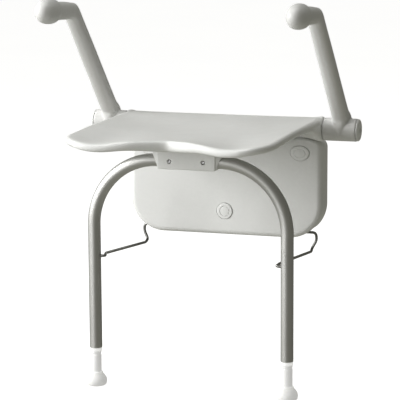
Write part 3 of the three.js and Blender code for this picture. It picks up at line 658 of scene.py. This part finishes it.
def bevelled_box(name, low, high, radius=0):
    work = bmesh.new()
    bmesh.ops.create_cube(work, size=1.0)
    size = Vector(high) - Vector(low)
    bmesh.ops.scale(work, vec=size, verts=work.verts)
    bmesh.ops.translate(work, vec=(Vector(low) + Vector(high)) / 2, verts=work.verts)
    if radius:
        bmesh.ops.bevel(
            work, geom=work.edges[:], offset=radius, segments=4, profile=0.5, affect="EDGES")
    mesh = bpy.data.meshes.new(name)
    work.to_mesh(mesh)
    work.free()
    made = bpy.data.objects.new(name, mesh)
    bpy.context.scene.collection.objects.link(made)
    return made


def build_seat():
    bracket_low, bracket_high = node_box("leg_bracket")
    keeper_high = node_box("bracket_keeper")[1]
    pad_low = Vector((-86 * MM, bracket_low.y - 12 * MM, bracket_high.z + 0.3 * MM))
    pad_high = Vector((86 * MM, keeper_high.y + 2 * MM, HINGE.z + 4 * MM))
    parts = [seat_slab(), bevelled_box("pad", pad_low, pad_high, 2 * MM)]
    for side, _ in SIDES:
        parts.append(seat_ear(side))
        parts.append(ear_gusset(side))
    seat = joined("seat_shell", parts)
    fused(seat, 1.35 * MM, 7)
    cutters = [rod("groove", AXLE_GROOVE, -EAR_INNER, EAR_INNER, HINGE)]
    for side, _ in SIDES:
        middle = HINGE + Vector((side * 185 * MM, 0, 0))
        cutters.append(rod("bore", BUSH_BORE, -30 * MM, 30 * MM, middle))
    cut_by(seat, cutters)
    finished(seat, "seat", SEAT_PLASTIC, "seat_plastic", "seat", angle=50)


# Arms
HUB_INNER = node_box("arm_right")[0].x
HUB_RADIUS = 23 * MM
HUB_POCKET = 17.2 * MM
BAR_X = 245 * MM
ARM_FOOT = Vector((BAR_X, HINGE.y + 17 * MM, HINGE.z))
ARM_ELBOW = Vector((BAR_X, HINGE.y - 210 * MM, HINGE.z + 238.5 * MM))
HANDLE_START = HINGE.y - 262 * MM
HANDLE_TIP = node_box("arm_right")[0].y
HANDLE_Z = HINGE.z + 253 * MM


def catmull(points, steps):
    """A smooth curve through the points."""
    out = []
    last = len(points) - 1
    for i in range(last):
        p0, p1 = points[max(i - 1, 0)], points[i]
        p2, p3 = points[i + 1], points[min(i + 2, last)]
        for s in range(steps):
            t = s / steps
            out.append(0.5 * (2 * p1 + (p2 - p0) * t + (2 * p0 - 5 * p1 + 4 * p2 - p3) * t ** 2
                              + (3 * p1 - p0 - 3 * p2 + p3) * t ** 3))
    out.append(points[-1])
    return out


def arm_sweep(name, stations, squareness):
    """A smooth body through stations of (centre, half width across, half thickness)."""
    route = catmull([point for point, _, _ in stations], 6)
    sizes = catmull([Vector((a, b, 0)) * MM for _, a, b in stations], 6)
    least = 0.5 * MM
    return swept(name, route, lambda i: (max(sizes[i].x, least), max(sizes[i].y, least)), 96,
                 squareness=lambda i: squareness)


def arm_bar():
    """The straight bar climbs from the hub to a rounded top."""
    stations = [
        (Vector((BAR_X, HINGE.y + 1 * MM, HINGE.z)), 20, 19),
        (Vector((BAR_X, HINGE.y + 1.5 * MM, HINGE.z + 11 * MM)), 20, 19),
        (Vector((BAR_X, HINGE.y - 1.5 * MM, HINGE.z + 22 * MM)), 19, 18),
    ]
    shares = (
        (0.14, 17.4, 16.8), (0.2, 16.9, 16.2), (0.35, 16.6, 16), (0.5, 16.4, 16),
        (0.68, 16.2, 16), (0.86, 15.6, 15.8), (0.94, 15.4, 15.8), (1.0, 15.3, 15.6),
        (1.035, 14.2, 14.6), (1.055, 11.4, 12), (1.066, 7.4, 8), (1.07, 2, 2),
    )
    stations += [(ARM_FOOT.lerp(ARM_ELBOW, share), a, b) for share, a, b in shares]
    return arm_sweep("bar", stations, 2.5)


def arm_handle():
    """A slim neck leaves the front of the bar and swells into a mushroom grip."""
    stations = []
    for share, drop, a, b in (
        (-0.44, 9, 14, 15), (-0.2, 7, 14.8, 17), (0.05, 5, 15, 17.6), (0.28, 4, 15, 17.8),
        (0.38, 2.6, 16.2, 18.8), (0.46, 2, 19.2, 21.8), (0.55, 1.6, 21.6, 23.6),
        (0.66, 1.4, 22.2, 24), (0.77, 1.4, 20.8, 22.6), (0.87, 1.4, 17.8, 19.4),
        (0.94, 1.4, 13.4, 14.6), (0.98, 1.4, 8.4, 9.2), (0.996, 1.4, 4, 4.4), (1.0, 1.4, 1.6, 1.6),
    ):
        y = HANDLE_START + (HANDLE_TIP - HANDLE_START) * share
        stations.append((Vector((BAR_X, y, HANDLE_Z - drop * MM)), a, b))
    return arm_sweep("handle", stations, 2.15)


def arm_tail():
    """The foot of the bar runs down over the front of the hub to a soft point."""
    stations = []
    for y, z, a, b in (
        (-22, 42, 15.4, 13), (-14, 30, 16, 14), (-11, 18, 15.8, 14), (-11, 8, 13.2, 13.6),
        (-11.5, -1, 9.4, 12.8), (-11.5, -8, 5.6, 11), (-11, -13.5, 2.2, 7.6), (-10.5, -16, 0.8, 4),
    ):
        stations.append((Vector((BAR_X, HINGE.y + y * MM, HINGE.z + z * MM)), a, b))
    return arm_sweep("tail", stations, 2.3)


def build_arm():
    origin = Vector((0, HINGE.y, HINGE.z))
    hub = turned("hub", [
        (0, HUB_INNER), (HUB_RADIUS - 2.6 * MM, HUB_INNER), (HUB_RADIUS, HUB_INNER + 2.4 * MM),
        (HUB_RADIUS, HUB_END), (0, HUB_END),
    ], origin, "x", 120, ease=1.6 * MM)
    arm = joined("arm_shell_right", [hub, arm_bar(), arm_handle(), arm_tail()])
    fused(arm, 1.1 * MM, 9)
    cut_by(arm, [
        rod("bore", BUSH_BORE, HUB_INNER - 5 * MM, HUB_END + 5 * MM, origin),
        rod("pocket", HUB_POCKET, HUB_END - 15 * MM, HUB_END + 5 * MM, origin),
        rod("stop", HUB_POCKET, HUB_INNER - 5 * MM, HUB_INNER + 9.4 * MM, origin),
    ])
    return arm


def build_arms():
    right = build_arm()
    left = mirrored(right, "arm_shell_left")
    for made, name in ((right, "right"), (left, "left")):
        finished(made, f"arm_{name}", ARM_PLASTIC, "arm_plastic", f"arm_{name}", angle=50)


def build_hub_caps():
    """Flanged end caps with a round socket in the middle of the face."""
    edge = HUB_RADIUS - 0.8 * MM
    plug = HUB_POCKET - 0.5 * MM
    outward = [
        (0, HUB_END - 5 * MM), (plug, HUB_END - 5 * MM), (plug, HUB_END + 0.9 * MM),
        (edge, HUB_END + 0.9 * MM), (edge, HUB_END + 2.4 * MM), (edge - 2 * MM, HUB_END + 4.4 * MM),
        (16.8 * MM, HUB_END + 4.9 * MM), (15.6 * MM, HUB_END + 3.7 * MM), (14.2 * MM, HUB_END + 5 * MM),
        (8 * MM, HUB_END + 5.8 * MM), (6.2 * MM, HUB_END + 5.6 * MM), (5.6 * MM, HUB_END + 1 * MM),
        (0, HUB_END + 0.6 * MM),
    ]
    cap = turned("hub_cap_right", outward, Vector((0, HINGE.y, HINGE.z)), "x", 112, ease=0.5 * MM)
    other = mirrored(cap, "hub_cap_left")
    for made, name in ((cap, "right"), (other, "left")):
        finished(made, f"arm_{name}", CAP_PLASTIC, "arm_plastic", f"hub_end_cap_{name}")


# Wall cover and its screw caps
COVER_DEPTH = -COVER_LOW.y
COVER_WALL = 3 * MM
COVER_EDGE = 11 * MM
COVER_RAISE = 9 * MM
COVER_LOW_CORNER, COVER_TOP_CORNER = 70 * MM, 14 * MM
CAP_SEAT_DEPTH = 1.9 * MM
LUG_X, LUG_SLOT_HALF = 142 * MM, 5 * MM
WIRE_GAP_X, WIRE_GAP_HALF = 167 * MM, 27 * MM
CAP_SIZES = {
    "upper_left": (20 * MM, 15.5 * MM), "upper_right": (20 * MM, 15.5 * MM), "lower": (17 * MM, 17 * MM),
}


def cover_ring(inset, y):
    half = COVER_HIGH.x - inset
    low, high = COVER_LOW.z + inset, COVER_HIGH.z - inset * 0.6
    r_low = max(COVER_LOW_CORNER - inset, 4 * MM)
    r_top = max(COVER_TOP_CORNER - inset, 2 * MM)
    corners = (
        (half - r_top, high - r_top, r_top, 0.0, 12), (-half + r_top, high - r_top, r_top, 0.5, 12),
        (-half + r_low, low + r_low, r_low, 1.0, 30), (half - r_low, low + r_low, r_low, 1.5, 30),
    )
    ring = []
    for number, (cx, cz, r, start, steps) in enumerate(corners):
        for i in range(steps + 1):
            angle = math.pi * (start + 0.5 * i / steps)
            ring.append(Vector((cx + r * math.cos(angle), y, cz + r * math.sin(angle))))
        if number == 0:
            ring += [Vector(((half - r_top) * (1 - i / 94), y, high)) for i in range(1, 188)]
    for point in ring:
        point.z += cover_raise(point.x) * smooth_step(high - r_top, high, point.z)
    return ring


def cover_raise(x):
    """The top edge stands higher under the hinge and follows the flare of the seat's ears."""
    return float(np.interp(abs(x) / MM, (163, 175, 190, 199, 204), (8.8, 7.4, 4, 1.5, 0.6))) * MM


def build_cover():
    front = -COVER_DEPTH
    rings = [cover_ring(COVER_EDGE * 2.2, front)]
    for i in range(13):
        angle = math.pi / 2 * (1 - i / 12)
        inset = COVER_EDGE * (1 - math.cos(angle))
        rings.append(cover_ring(inset, front + COVER_EDGE * (1 - math.sin(angle))))
    rings.append(cover_ring(0, -1.2 * MM))
    rings.append(cover_ring(0.6 * MM, -0.5 * MM))
    rings.append(cover_ring(COVER_WALL, -0.5 * MM))
    inner_edge = COVER_EDGE - COVER_WALL
    for i in range(9):
        angle = math.pi / 2 * i / 8
        inset = COVER_WALL + inner_edge * (1 - math.cos(angle))
        rings.append(cover_ring(inset, front + COVER_WALL + inner_edge * (1 - math.sin(angle))))
    rings.append(cover_ring(COVER_EDGE * 2.2, front + COVER_WALL))
    cover = lofted("cover_shell", rings)
    cutters = []
    for name, (cap_x, cap_z) in CAP_SIZES.items():
        at = node_centre(f"screw_cap_{name}")
        middle = Vector((at.x, front, at.z))
        profile = [
            (0, -4 * MM), (1.045, -4 * MM), (1.03, CAP_SEAT_DEPTH), (0.9, CAP_SEAT_DEPTH),
            (0.9, 9 * MM), (0, 9 * MM),
        ]
        cutters.append(turned("hole", profile, middle, "y", 96, ease=0, stretch=(cap_z, cap_x)))
    behind = 186 * MM
    plate = 4.4 * MM
    top = COVER_HIGH.z
    above = top + COVER_RAISE + 5 * MM
    cutters.append(bevelled_box("top", (-behind, -plate, top - 12 * MM), (behind, 2 * MM, above)))
    wire_top = node_centre("stay_wire").z + 100 * MM
    wire_gap_top = min(wire_top, -92 * MM)
    lug_front = front + COVER_WALL + 0.2 * MM
    for side, _ in SIDES:
        lug = side * LUG_X
        cutters.append(bevelled_box("lug", (lug - LUG_SLOT_HALF, lug_front, top - 12 * MM),
                                    (lug + LUG_SLOT_HALF, 2 * MM, above)))
        gap = side * WIRE_GAP_X
        cutters.append(bevelled_box("wire", (gap - WIRE_GAP_HALF, -36 * MM, COVER_LOW.z - 5 * MM),
                                    (gap + WIRE_GAP_HALF, 2 * MM, wire_gap_top)))
    cut_by(cover, cutters)
    finished(cover, "wall", COVER_PLASTIC, "cover_plastic", "wall_cover", angle=40)


def build_screw_caps():
    """Oval and round plugs with a ring groove and a faintly domed middle."""
    for name, (cap_x, cap_z) in CAP_SIZES.items():
        at = node_centre(f"screw_cap_{name}")
        face = node_box(f"screw_cap_{name}")[0].y
        profile = [
            (0, 6 * MM), (0.82, 6 * MM), (0.82, 3.2 * MM), (0.965, 3.2 * MM),
            (0.965, 1.4 * MM), (0.91, 0.8 * MM), (0.64, 0.5 * MM), (0.61, 1.3 * MM),
            (0.56, 1.3 * MM), (0.53, 0.4 * MM), (0.3, 0.1 * MM), (0, 0.0),
        ]
        cap = turned(f"cap_{name}", profile, Vector((at.x, face, at.z)), "y", 120, ease=0.3 * MM,
                     stretch=(cap_z, cap_x))
        finished(cap, "wall", CAP_PLASTIC, "cover_plastic", f"screw_cap_{name}", angle=25)


# Leg frame, feet and their rings
PIN_HOLE = 3.1 * MM
BORE_OVERRUN = 2.04 * MM
HEIGHT_MARKS, FIRST_MARK, MARK_PITCH = 5, 12 * MM, 20 * MM


def leg_route(bends, straights):
    """Centre line of the bent tube, up the left leg, over the arch and down the right one."""
    bottom = TUBE_LOW.z
    spring = TUBE_AXIS.z - TUBE_BEND
    left = []
    for i in range(straights):
        left.append(Vector((-TUBE_SPAN, TUBE_AXIS.y, bottom + (spring - bottom) * i / straights)))
    for i in range(bends + 1):
        angle = math.pi - math.pi / 2 * i / bends
        x = -TUBE_SPAN + TUBE_BEND + TUBE_BEND * math.cos(angle)
        left.append(Vector((x, TUBE_AXIS.y, spring + TUBE_BEND * math.sin(angle))))
    right = [Vector((-p.x, p.y, p.z)) for p in reversed(left)]
    return left + right


def build_leg_frame():
    route = leg_route(40, 12)
    across = Vector((0, 1, 0))
    sides = 64
    ease = 0.5 * MM
    bore = TUBE_RADIUS - TUBE_WALL
    outer = [TUBE_RADIUS] * len(route)
    outer[0] = outer[-1] = TUBE_RADIUS - ease
    outer_route = list(route)
    for end, step in ((0, 1), (-1, -1)):
        inward = (route[end + step] - route[end]).normalized()
        outer_route.insert(1 if end == 0 else len(outer_route) - 1, route[end] + inward * ease)
        outer.insert(1 if end == 0 else len(outer) - 1, TUBE_RADIUS)
    tube = swept("leg_tube", outer_route, lambda i: (outer[i], outer[i]), sides, across, uv=True)
    inside = swept("inside", route, lambda i: (bore, bore), 48, across)
    stretch_ends(inside)
    pins = []
    pin_z = stay_pivot().z
    for side, _ in SIDES:
        middle = Vector((side * (TUBE_SPAN - TUBE_RADIUS), TUBE_AXIS.y, pin_z))
        pins.append(rod("pin", PIN_HOLE, -6 * MM, 6 * MM, middle, sides=40))
    cut_by(tube, [inside, *pins])
    finished(tube, "legs", TUBE_METAL, "leg_tube", "leg_frame")


def stretch_ends(made):
    """Pushes both ends of the bore's cutter past the tube, so that it cuts them cleanly."""
    low = min(v.co.z for v in made.data.vertices)
    for vertex in made.data.vertices:
        if vertex.co.z < low + 1e-5:
            vertex.co.z -= BORE_OVERRUN


def build_feet():
    for _, name in SIDES:
        ring_low, ring_high = node_box(f"tube_end_ring_{name}")
        stem_low, stem_high = node_box(f"foot_stem_{name}")
        tip_low, tip_high = node_box(f"foot_tip_{name}")
        middle = node_centre(f"foot_stem_{name}")
        foot_axis = Vector((middle.x, middle.y, 0))
        r = (stem_high.x - stem_low.x) / 2
        top, low = ring_high.z, ring_low.z
        ring = turned(f"end_ring_{name}", [
            (r + 0.3 * MM, low), (r + 1.0 * MM, low), (r + 1.3 * MM, low + 1 * MM),
            (r + 1.3 * MM, low + 2.4 * MM), (r + 0.8 * MM, low + 2.9 * MM),
            (r + 0.8 * MM, low + 3.6 * MM), (r + 1.3 * MM, low + 4.1 * MM),
            (r + 1.3 * MM, top), (r + 0.3 * MM, top), (r + 0.3 * MM, low),
        ], foot_axis, "z", 80, ease=0.2 * MM)
        finished(ring, "legs", WHITE_PLASTIC, "white_plastic", f"tube_end_ring_{name}")
        profile = [(0, stem_low.z), (r - 1 * MM, stem_low.z), (r, stem_low.z + 1 * MM)]
        groove = TUBE_LOW.z - 14 * MM
        profile += [(r, groove - 1 * MM), (r - 0.8 * MM, groove), (r - 0.8 * MM, groove + 2 * MM),
                    (r, groove + 3 * MM)]
        for i in range(HEIGHT_MARKS):
            z = TUBE_LOW.z + FIRST_MARK + MARK_PITCH * i
            profile += [(r, z - 1.6 * MM), (r - 0.7 * MM, z - 0.8 * MM),
                        (r - 0.7 * MM, z + 0.8 * MM), (r, z + 1.6 * MM)]
        profile += [(r, stem_high.z - 2 * MM), (r - 2 * MM, stem_high.z), (0, stem_high.z)]
        stem = turned(f"stem_{name}", profile, foot_axis, "z", 80, ease=0.3 * MM)
        finished(stem, f"foot_{name}", WHITE_PLASTIC, "white_plastic", f"foot_stem_{name}")
        build_tip(name, foot_axis, r, tip_low, tip_high)


def build_tip(name, foot_axis, stem_radius, low, high):
    """Domed rubber tip with a neck bead and grip grooves round its sole."""
    floor = low.z
    wide = (high.x - low.x) / 2
    rings = [(0, 1.2), (3.5, 1.2), (4.2, 0), (7.5, 0), (8.2, 1.2), (9.4, 1.2), (10.1, 0), (15.5, 0)]
    outside = [(18.5, 1.2), (20.6, 4.5), (wide / MM, 9.5), (20.8, 14.5), (18.4, 19), (15.2, 22.6),
               (13.3, 24.6), (13.5, 25.6), (13.3, 26.8), (12.6, (high.z - low.z) / MM)]
    inner = stem_radius / MM + 0.3
    inside = [(inner, (high.z - low.z) / MM), (inner, 13.5), (0, 13.5)]
    profile = [(a * MM, floor + b * MM) for a, b in rings + outside + inside]
    tip = turned(f"tip_{name}", profile, foot_axis, "z", 96, ease=1.2 * MM)
    finished(tip, f"foot_{name}", RUBBER, "foot_rubber", f"foot_tip_{name}")


# Leg bracket and keeper
BRACKET_HALF_LOW = 58.4 * MM
BRACKET_FRONT_HALF = 59.5 * MM
BRACKET_CHANNEL = 13.1 * MM
PIVOT_BUSH_X, PIVOT_BUSH_HALF, PIVOT_BUSH_WALL = 50 * MM, 6.5 * MM, 2.2 * MM
PILOT_RADIUS = 2.3 * MM


def bracket_outline(half_top, inset=0.0):
    low, high = node_box("leg_bracket")
    corners = [
        Vector((-BRACKET_HALF_LOW + inset, low.z + inset)),
        Vector((BRACKET_HALF_LOW - inset, low.z + inset)),
        Vector((half_top - inset, high.z - inset)),
        Vector((-half_top + inset, high.z - inset)),
    ]
    ring = []
    for i, corner in enumerate(corners):
        back = (corners[i - 1] - corner).normalized()
        ahead = (corners[(i + 1) % 4] - corner).normalized()
        reach = (3.5 if i < 2 else 1.2) * MM
        ring += corner_arc(corner + back * reach, corner, corner + ahead * reach, 8)
    return ring


def bracket_body(name, front, rear, soft, front_half, rear_half):
    """A block whose front face is upright at its ends and whose top widens backwards."""
    rings = []
    steps = 6
    for i in range(steps + 1):
        angle = math.pi / 2 * i / steps
        inset = soft * (1 - math.sin(angle))
        y = front + soft * (1 - math.cos(angle))
        rings.append([Vector((p.x, y, p.y)) for p in bracket_outline(front_half, inset)])
    shoulder = front_half + 0.66 * (rear_half - front_half)
    rings.append([Vector((p.x, front + 5 * MM, p.y)) for p in bracket_outline(shoulder)])
    rings.append([Vector((p.x, rear, p.y)) for p in bracket_outline(rear_half)])
    return lofted(name, rings)


def bracket_cutters():
    """The tube's channel and the wider seats of the two pivot bushes in it."""
    cutters = [rod("channel", BRACKET_CHANNEL, -95 * MM, 95 * MM, TUBE_AXIS, sides=96)]
    for side, _ in SIDES:
        at = TUBE_AXIS + Vector((side * PIVOT_BUSH_X, 0, 0))
        cutters.append(rod("bush", BRACKET_CHANNEL + PIVOT_BUSH_WALL, -PIVOT_BUSH_HALF, PIVOT_BUSH_HALF,
                           at, sides=96))
    return cutters


def pilot_hole(name, low, high):
    """Hole for one keeper screw, along Y."""
    at = node_centre(f"keeper_screw_{name}")
    return rod("pilot", PILOT_RADIUS, low, high, Vector((at.x, 0, at.z)), "y", 32)


def build_bracket():
    low, high = node_box("leg_bracket")
    wide = high.x
    front = bracket_body("bracket_front", low.y, high.y, 2.2 * MM, BRACKET_FRONT_HALF, wide)
    cutters = bracket_cutters()
    for _, name in SIDES:
        at = node_centre(f"set_screw_{name}")
        spot = Vector((at.x, low.y, at.z))
        hole = [(0, -5), (4.9, -5), (4.9, 0), (4.0, 1.1), (4.0, 5), (2.9, 6), (2.9, 32), (0, 32)]
        cutters.append(turned("hole", [(a * MM, b * MM) for a, b in hole], spot, "y", 48, ease=0))
        cutters.append(pilot_hole(name, high.y - 16 * MM, high.y + 2 * MM))
    cut_by(front, cutters)
    finished(front, "seat", SEAT_PLASTIC, "seat_plastic", "leg_bracket")
    low, high = node_box("bracket_keeper")
    rear = bracket_body("keeper_block", low.y, high.y, 0.01 * MM, wide, wide)
    cutters = bracket_cutters()
    for _, name in SIDES:
        cutters.append(pilot_hole(name, low.y - 2 * MM, high.y + 2 * MM))
        seat_screw = node_centre(f"seat_screw_{name}")
        cutters.append(rod("pilot", 2.5 * MM, low.z - 5 * MM, high.z + 5 * MM,
                           Vector((seat_screw.x, seat_screw.y, 0)), "z", 32))
    cut_by(rear, cutters)
    finished(rear, "seat", SEAT_PLASTIC, "seat_plastic", "bracket_keeper")


# Stay wire
STAY_PIVOT_DROP = 196.6 * MM
STAY_WALL_Y, STAY_WALL_Z = -18 * MM, -104 * MM
STAY_RADIUS = 2.8 * MM


def stay_pivot():
    return Vector((0, TUBE_AXIS.y, TUBE_AXIS.z - STAY_PIVOT_DROP))


def rounded_route(corners, radii, steps):
    route = [corners[0]]
    for before, corner, after, radius in zip(corners, corners[1:], corners[2:], radii[1:]):
        back, ahead = before - corner, after - corner
        reach = min(radius, back.length / 2.2, ahead.length / 2.2)
        start = corner + back.normalized() * reach
        end = corner + ahead.normalized() * reach
        route += corner_arc(start, corner, end, steps)
    route.append(corners[-1])
    return route


def build_stay():
    """One bent bail: a hook through each leg, a long run, a bowed riser and the bar in the wall lugs."""
    hook = stay_pivot()
    half = []
    for x, y, z, radius in (
        (192, hook.y, hook.z, 0),
        (180, hook.y, hook.z, 3),
        (175.2, hook.y + 1 * MM, hook.z + 0.8 * MM, 3),
        (178.5, hook.y + 13 * MM, hook.z + 3.4 * MM, 6),
        (178.5, STAY_WALL_Y - 14 * MM, -141 * MM, 5),
        (177.5, STAY_WALL_Y - 2 * MM, -136 * MM, 5),
        (186.5, STAY_WALL_Y + 1 * MM, -119 * MM, 9),
        (184.5, STAY_WALL_Y, STAY_WALL_Z, 8),
        (166, STAY_WALL_Y, STAY_WALL_Z, 4),
    ):
        half.append((Vector((x * MM, y, z)), radius * MM))
    flipped = [(Vector((-p.x, p.y, p.z)), radius) for p, radius in half]
    path = flipped + half[::-1]
    route = rounded_route([p for p, _ in path], [radius for _, radius in path], 8)
    wire = swept("stay_rod", route, lambda i: (STAY_RADIUS, STAY_RADIUS), 20, Vector((0, 0, 1)))
    finished(wire, "stay", WIRE_STEEL, "stay_steel", "stay_wire", angle=60)


# Axle, bushes and screws that keep their CAD shape
def repaint(material, *names):
    for name in names:
        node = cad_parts[name]
        node.data.materials.clear()
        node.data.materials.append(material)


def paint_cad_nodes():
    repaint(ZINC, "wall_bracket")
    repaint(AXLE_STEEL, "hinge_axle", "set_screw_left", "set_screw_right")
    for _, name in SIDES:
        repaint(SCREW_ZINC, f"arm_stop_ring_{name}", f"axle_screw_{name}")
        repaint(SCREW_ZINC, f"keeper_screw_{name}", f"seat_screw_{name}")
        repaint(BUSH_NYLON, f"seat_bush_{name}", f"arm_bush_{name}", f"pivot_bush_{name}")
    for spot in CAP_SIZES:
        repaint(SCREW_ZINC, f"wall_screw_{spot}")


# Floor, light and camera
def floor_material():
    g = Graph("studio_floor")
    cloud = g.span(g.noise(1.6, 4.0), 0.3, 0.7)
    tint = g.mix(cloud, (0.40, 0.40, 0.40), (0.44, 0.44, 0.44))
    rough = g.span(g.noise(14.0, 3.0), 0.3, 0.7, 0.6, 0.75)
    return g.surface(Base_Color=tint, Roughness=rough, Emission_Color=(1, 1, 1, 1), Emission_Strength=0.89)


def build_floor():
    points = []
    faces = []
    sides = 96
    radii = (1.0, 2.5, 5.0, 10.0, 25.0)
    for r in radii:
        points += [(r * math.cos(2 * math.pi * i / sides), r * math.sin(2 * math.pi * i / sides), FLOOR_Z)
                   for i in range(sides)]
    faces.append(tuple(range(sides)))
    for k in range(len(radii) - 1):
        a, b = k * sides, (k + 1) * sides
        faces += [(a + i, a + (i + 1) % sides, b + (i + 1) % sides, b + i) for i in range(sides)]
    mesh = bpy.data.meshes.new("floor")
    mesh.from_pydata(points, [], faces)
    floor = bpy.data.objects.new("floor", mesh)
    bpy.context.scene.collection.objects.link(floor)
    mesh.materials.append(floor_material())
    floor.visible_diffuse = False
    floor.visible_glossy = False
    floor.visible_shadow = False


def soft_light(name, place, target, size, power):
    data = bpy.data.lights.new(name, "AREA")
    data.shape = "RECTANGLE"
    data.size, data.size_y = size
    data.energy = power
    lamp = bpy.data.objects.new(name, data)
    lamp.location = place
    lamp.rotation_euler = (Vector(target) - Vector(place)).to_track_quat("-Z", "Y").to_euler()
    bpy.context.scene.collection.objects.link(lamp)


SKY_GLOW = 0.19
GROUND_GLOW = 0.42


def build_light():
    aim = (0, HINGE.y - 0.15, 0)
    soft_light("key", (-2.7, -1.5, 1.05), aim, (1.6, 1.8), 132)
    soft_light("band", (-1.5, -2.9, 0.2), aim, (1.0, 1.8), 25)
    soft_light("overhead", (-0.3, -0.5, 2.4), aim, (2.0, 2.0), 26)
    world = bpy.data.worlds.new("studio")
    world.use_nodes = True
    bpy.context.scene.world = world
    tree = world.node_tree
    tree.nodes.clear()
    seen = tree.nodes.new("ShaderNodeBackground")
    seen.inputs["Color"].default_value = (1, 1, 1, 1)
    seen.inputs["Strength"].default_value = 1.0
    lit = tree.nodes.new("ShaderNodeBackground")
    lit.inputs["Color"].default_value = (1.0, 0.99, 0.86, 1)
    way = tree.nodes.new("ShaderNodeTexCoord")
    height = tree.nodes.new("ShaderNodeSeparateXYZ")
    rise = tree.nodes.new("ShaderNodeMapRange")
    rise.interpolation_type = "SMOOTHSTEP"
    for key, value in (("From Min", -0.9), ("From Max", -0.1), ("To Min", GROUND_GLOW), ("To Max", SKY_GLOW)):
        rise.inputs[key].default_value = value
    tree.links.new(way.outputs["Generated"], height.inputs[0])
    tree.links.new(height.outputs["Z"], rise.inputs["Value"])
    tree.links.new(rise.outputs["Result"], lit.inputs["Strength"])
    ray = tree.nodes.new("ShaderNodeLightPath")
    mix = tree.nodes.new("ShaderNodeMixShader")
    out = tree.nodes.new("ShaderNodeOutputWorld")
    tree.links.new(ray.outputs["Is Camera Ray"], mix.inputs[0])
    tree.links.new(lit.outputs[0], mix.inputs[1])
    tree.links.new(seen.outputs[0], mix.inputs[2])
    tree.links.new(mix.outputs[0], out.inputs["Surface"])


CAMERA_AZIMUTH = math.radians(18.064)
CAMERA_ELEVATION = math.radians(9.984)
CAMERA_ROLL = math.radians(-0.324)
CAMERA_DISTANCE = 3.935
CAMERA_AIM = Vector((-0.0099, -0.1816, -0.0184))
CAMERA_LENS = 178.7


def build_camera():
    a, e = CAMERA_AZIMUTH, CAMERA_ELEVATION
    back = Vector((math.sin(a) * math.cos(e), -math.cos(a) * math.cos(e), math.sin(e)))
    right = Vector((math.cos(a), math.sin(a), 0))
    up = back.cross(right)
    c, s = math.cos(CAMERA_ROLL), math.sin(CAMERA_ROLL)
    right, up = right * c + up * s, up * c - right * s
    data = bpy.data.cameras.new("camera")
    data.sensor_width = 36
    data.lens = CAMERA_LENS
    data.clip_start, data.clip_end = 0.1, 100
    camera = bpy.data.objects.new("camera", data)
    turn = Matrix((right, up, back)).transposed().to_4x4()
    camera.matrix_world = Matrix.Translation(CAMERA_AIM + back * CAMERA_DISTANCE) @ turn
    bpy.context.scene.collection.objects.link(camera)
    bpy.context.scene.camera = camera


bpy.context.scene.view_settings.view_transform = "Standard"
build_seat()
build_arms()
build_hub_caps()
build_cover()
build_screw_caps()
build_leg_frame()
build_feet()
build_bracket()
build_stay()
paint_cad_nodes()
build_floor()
build_light()
build_camera()
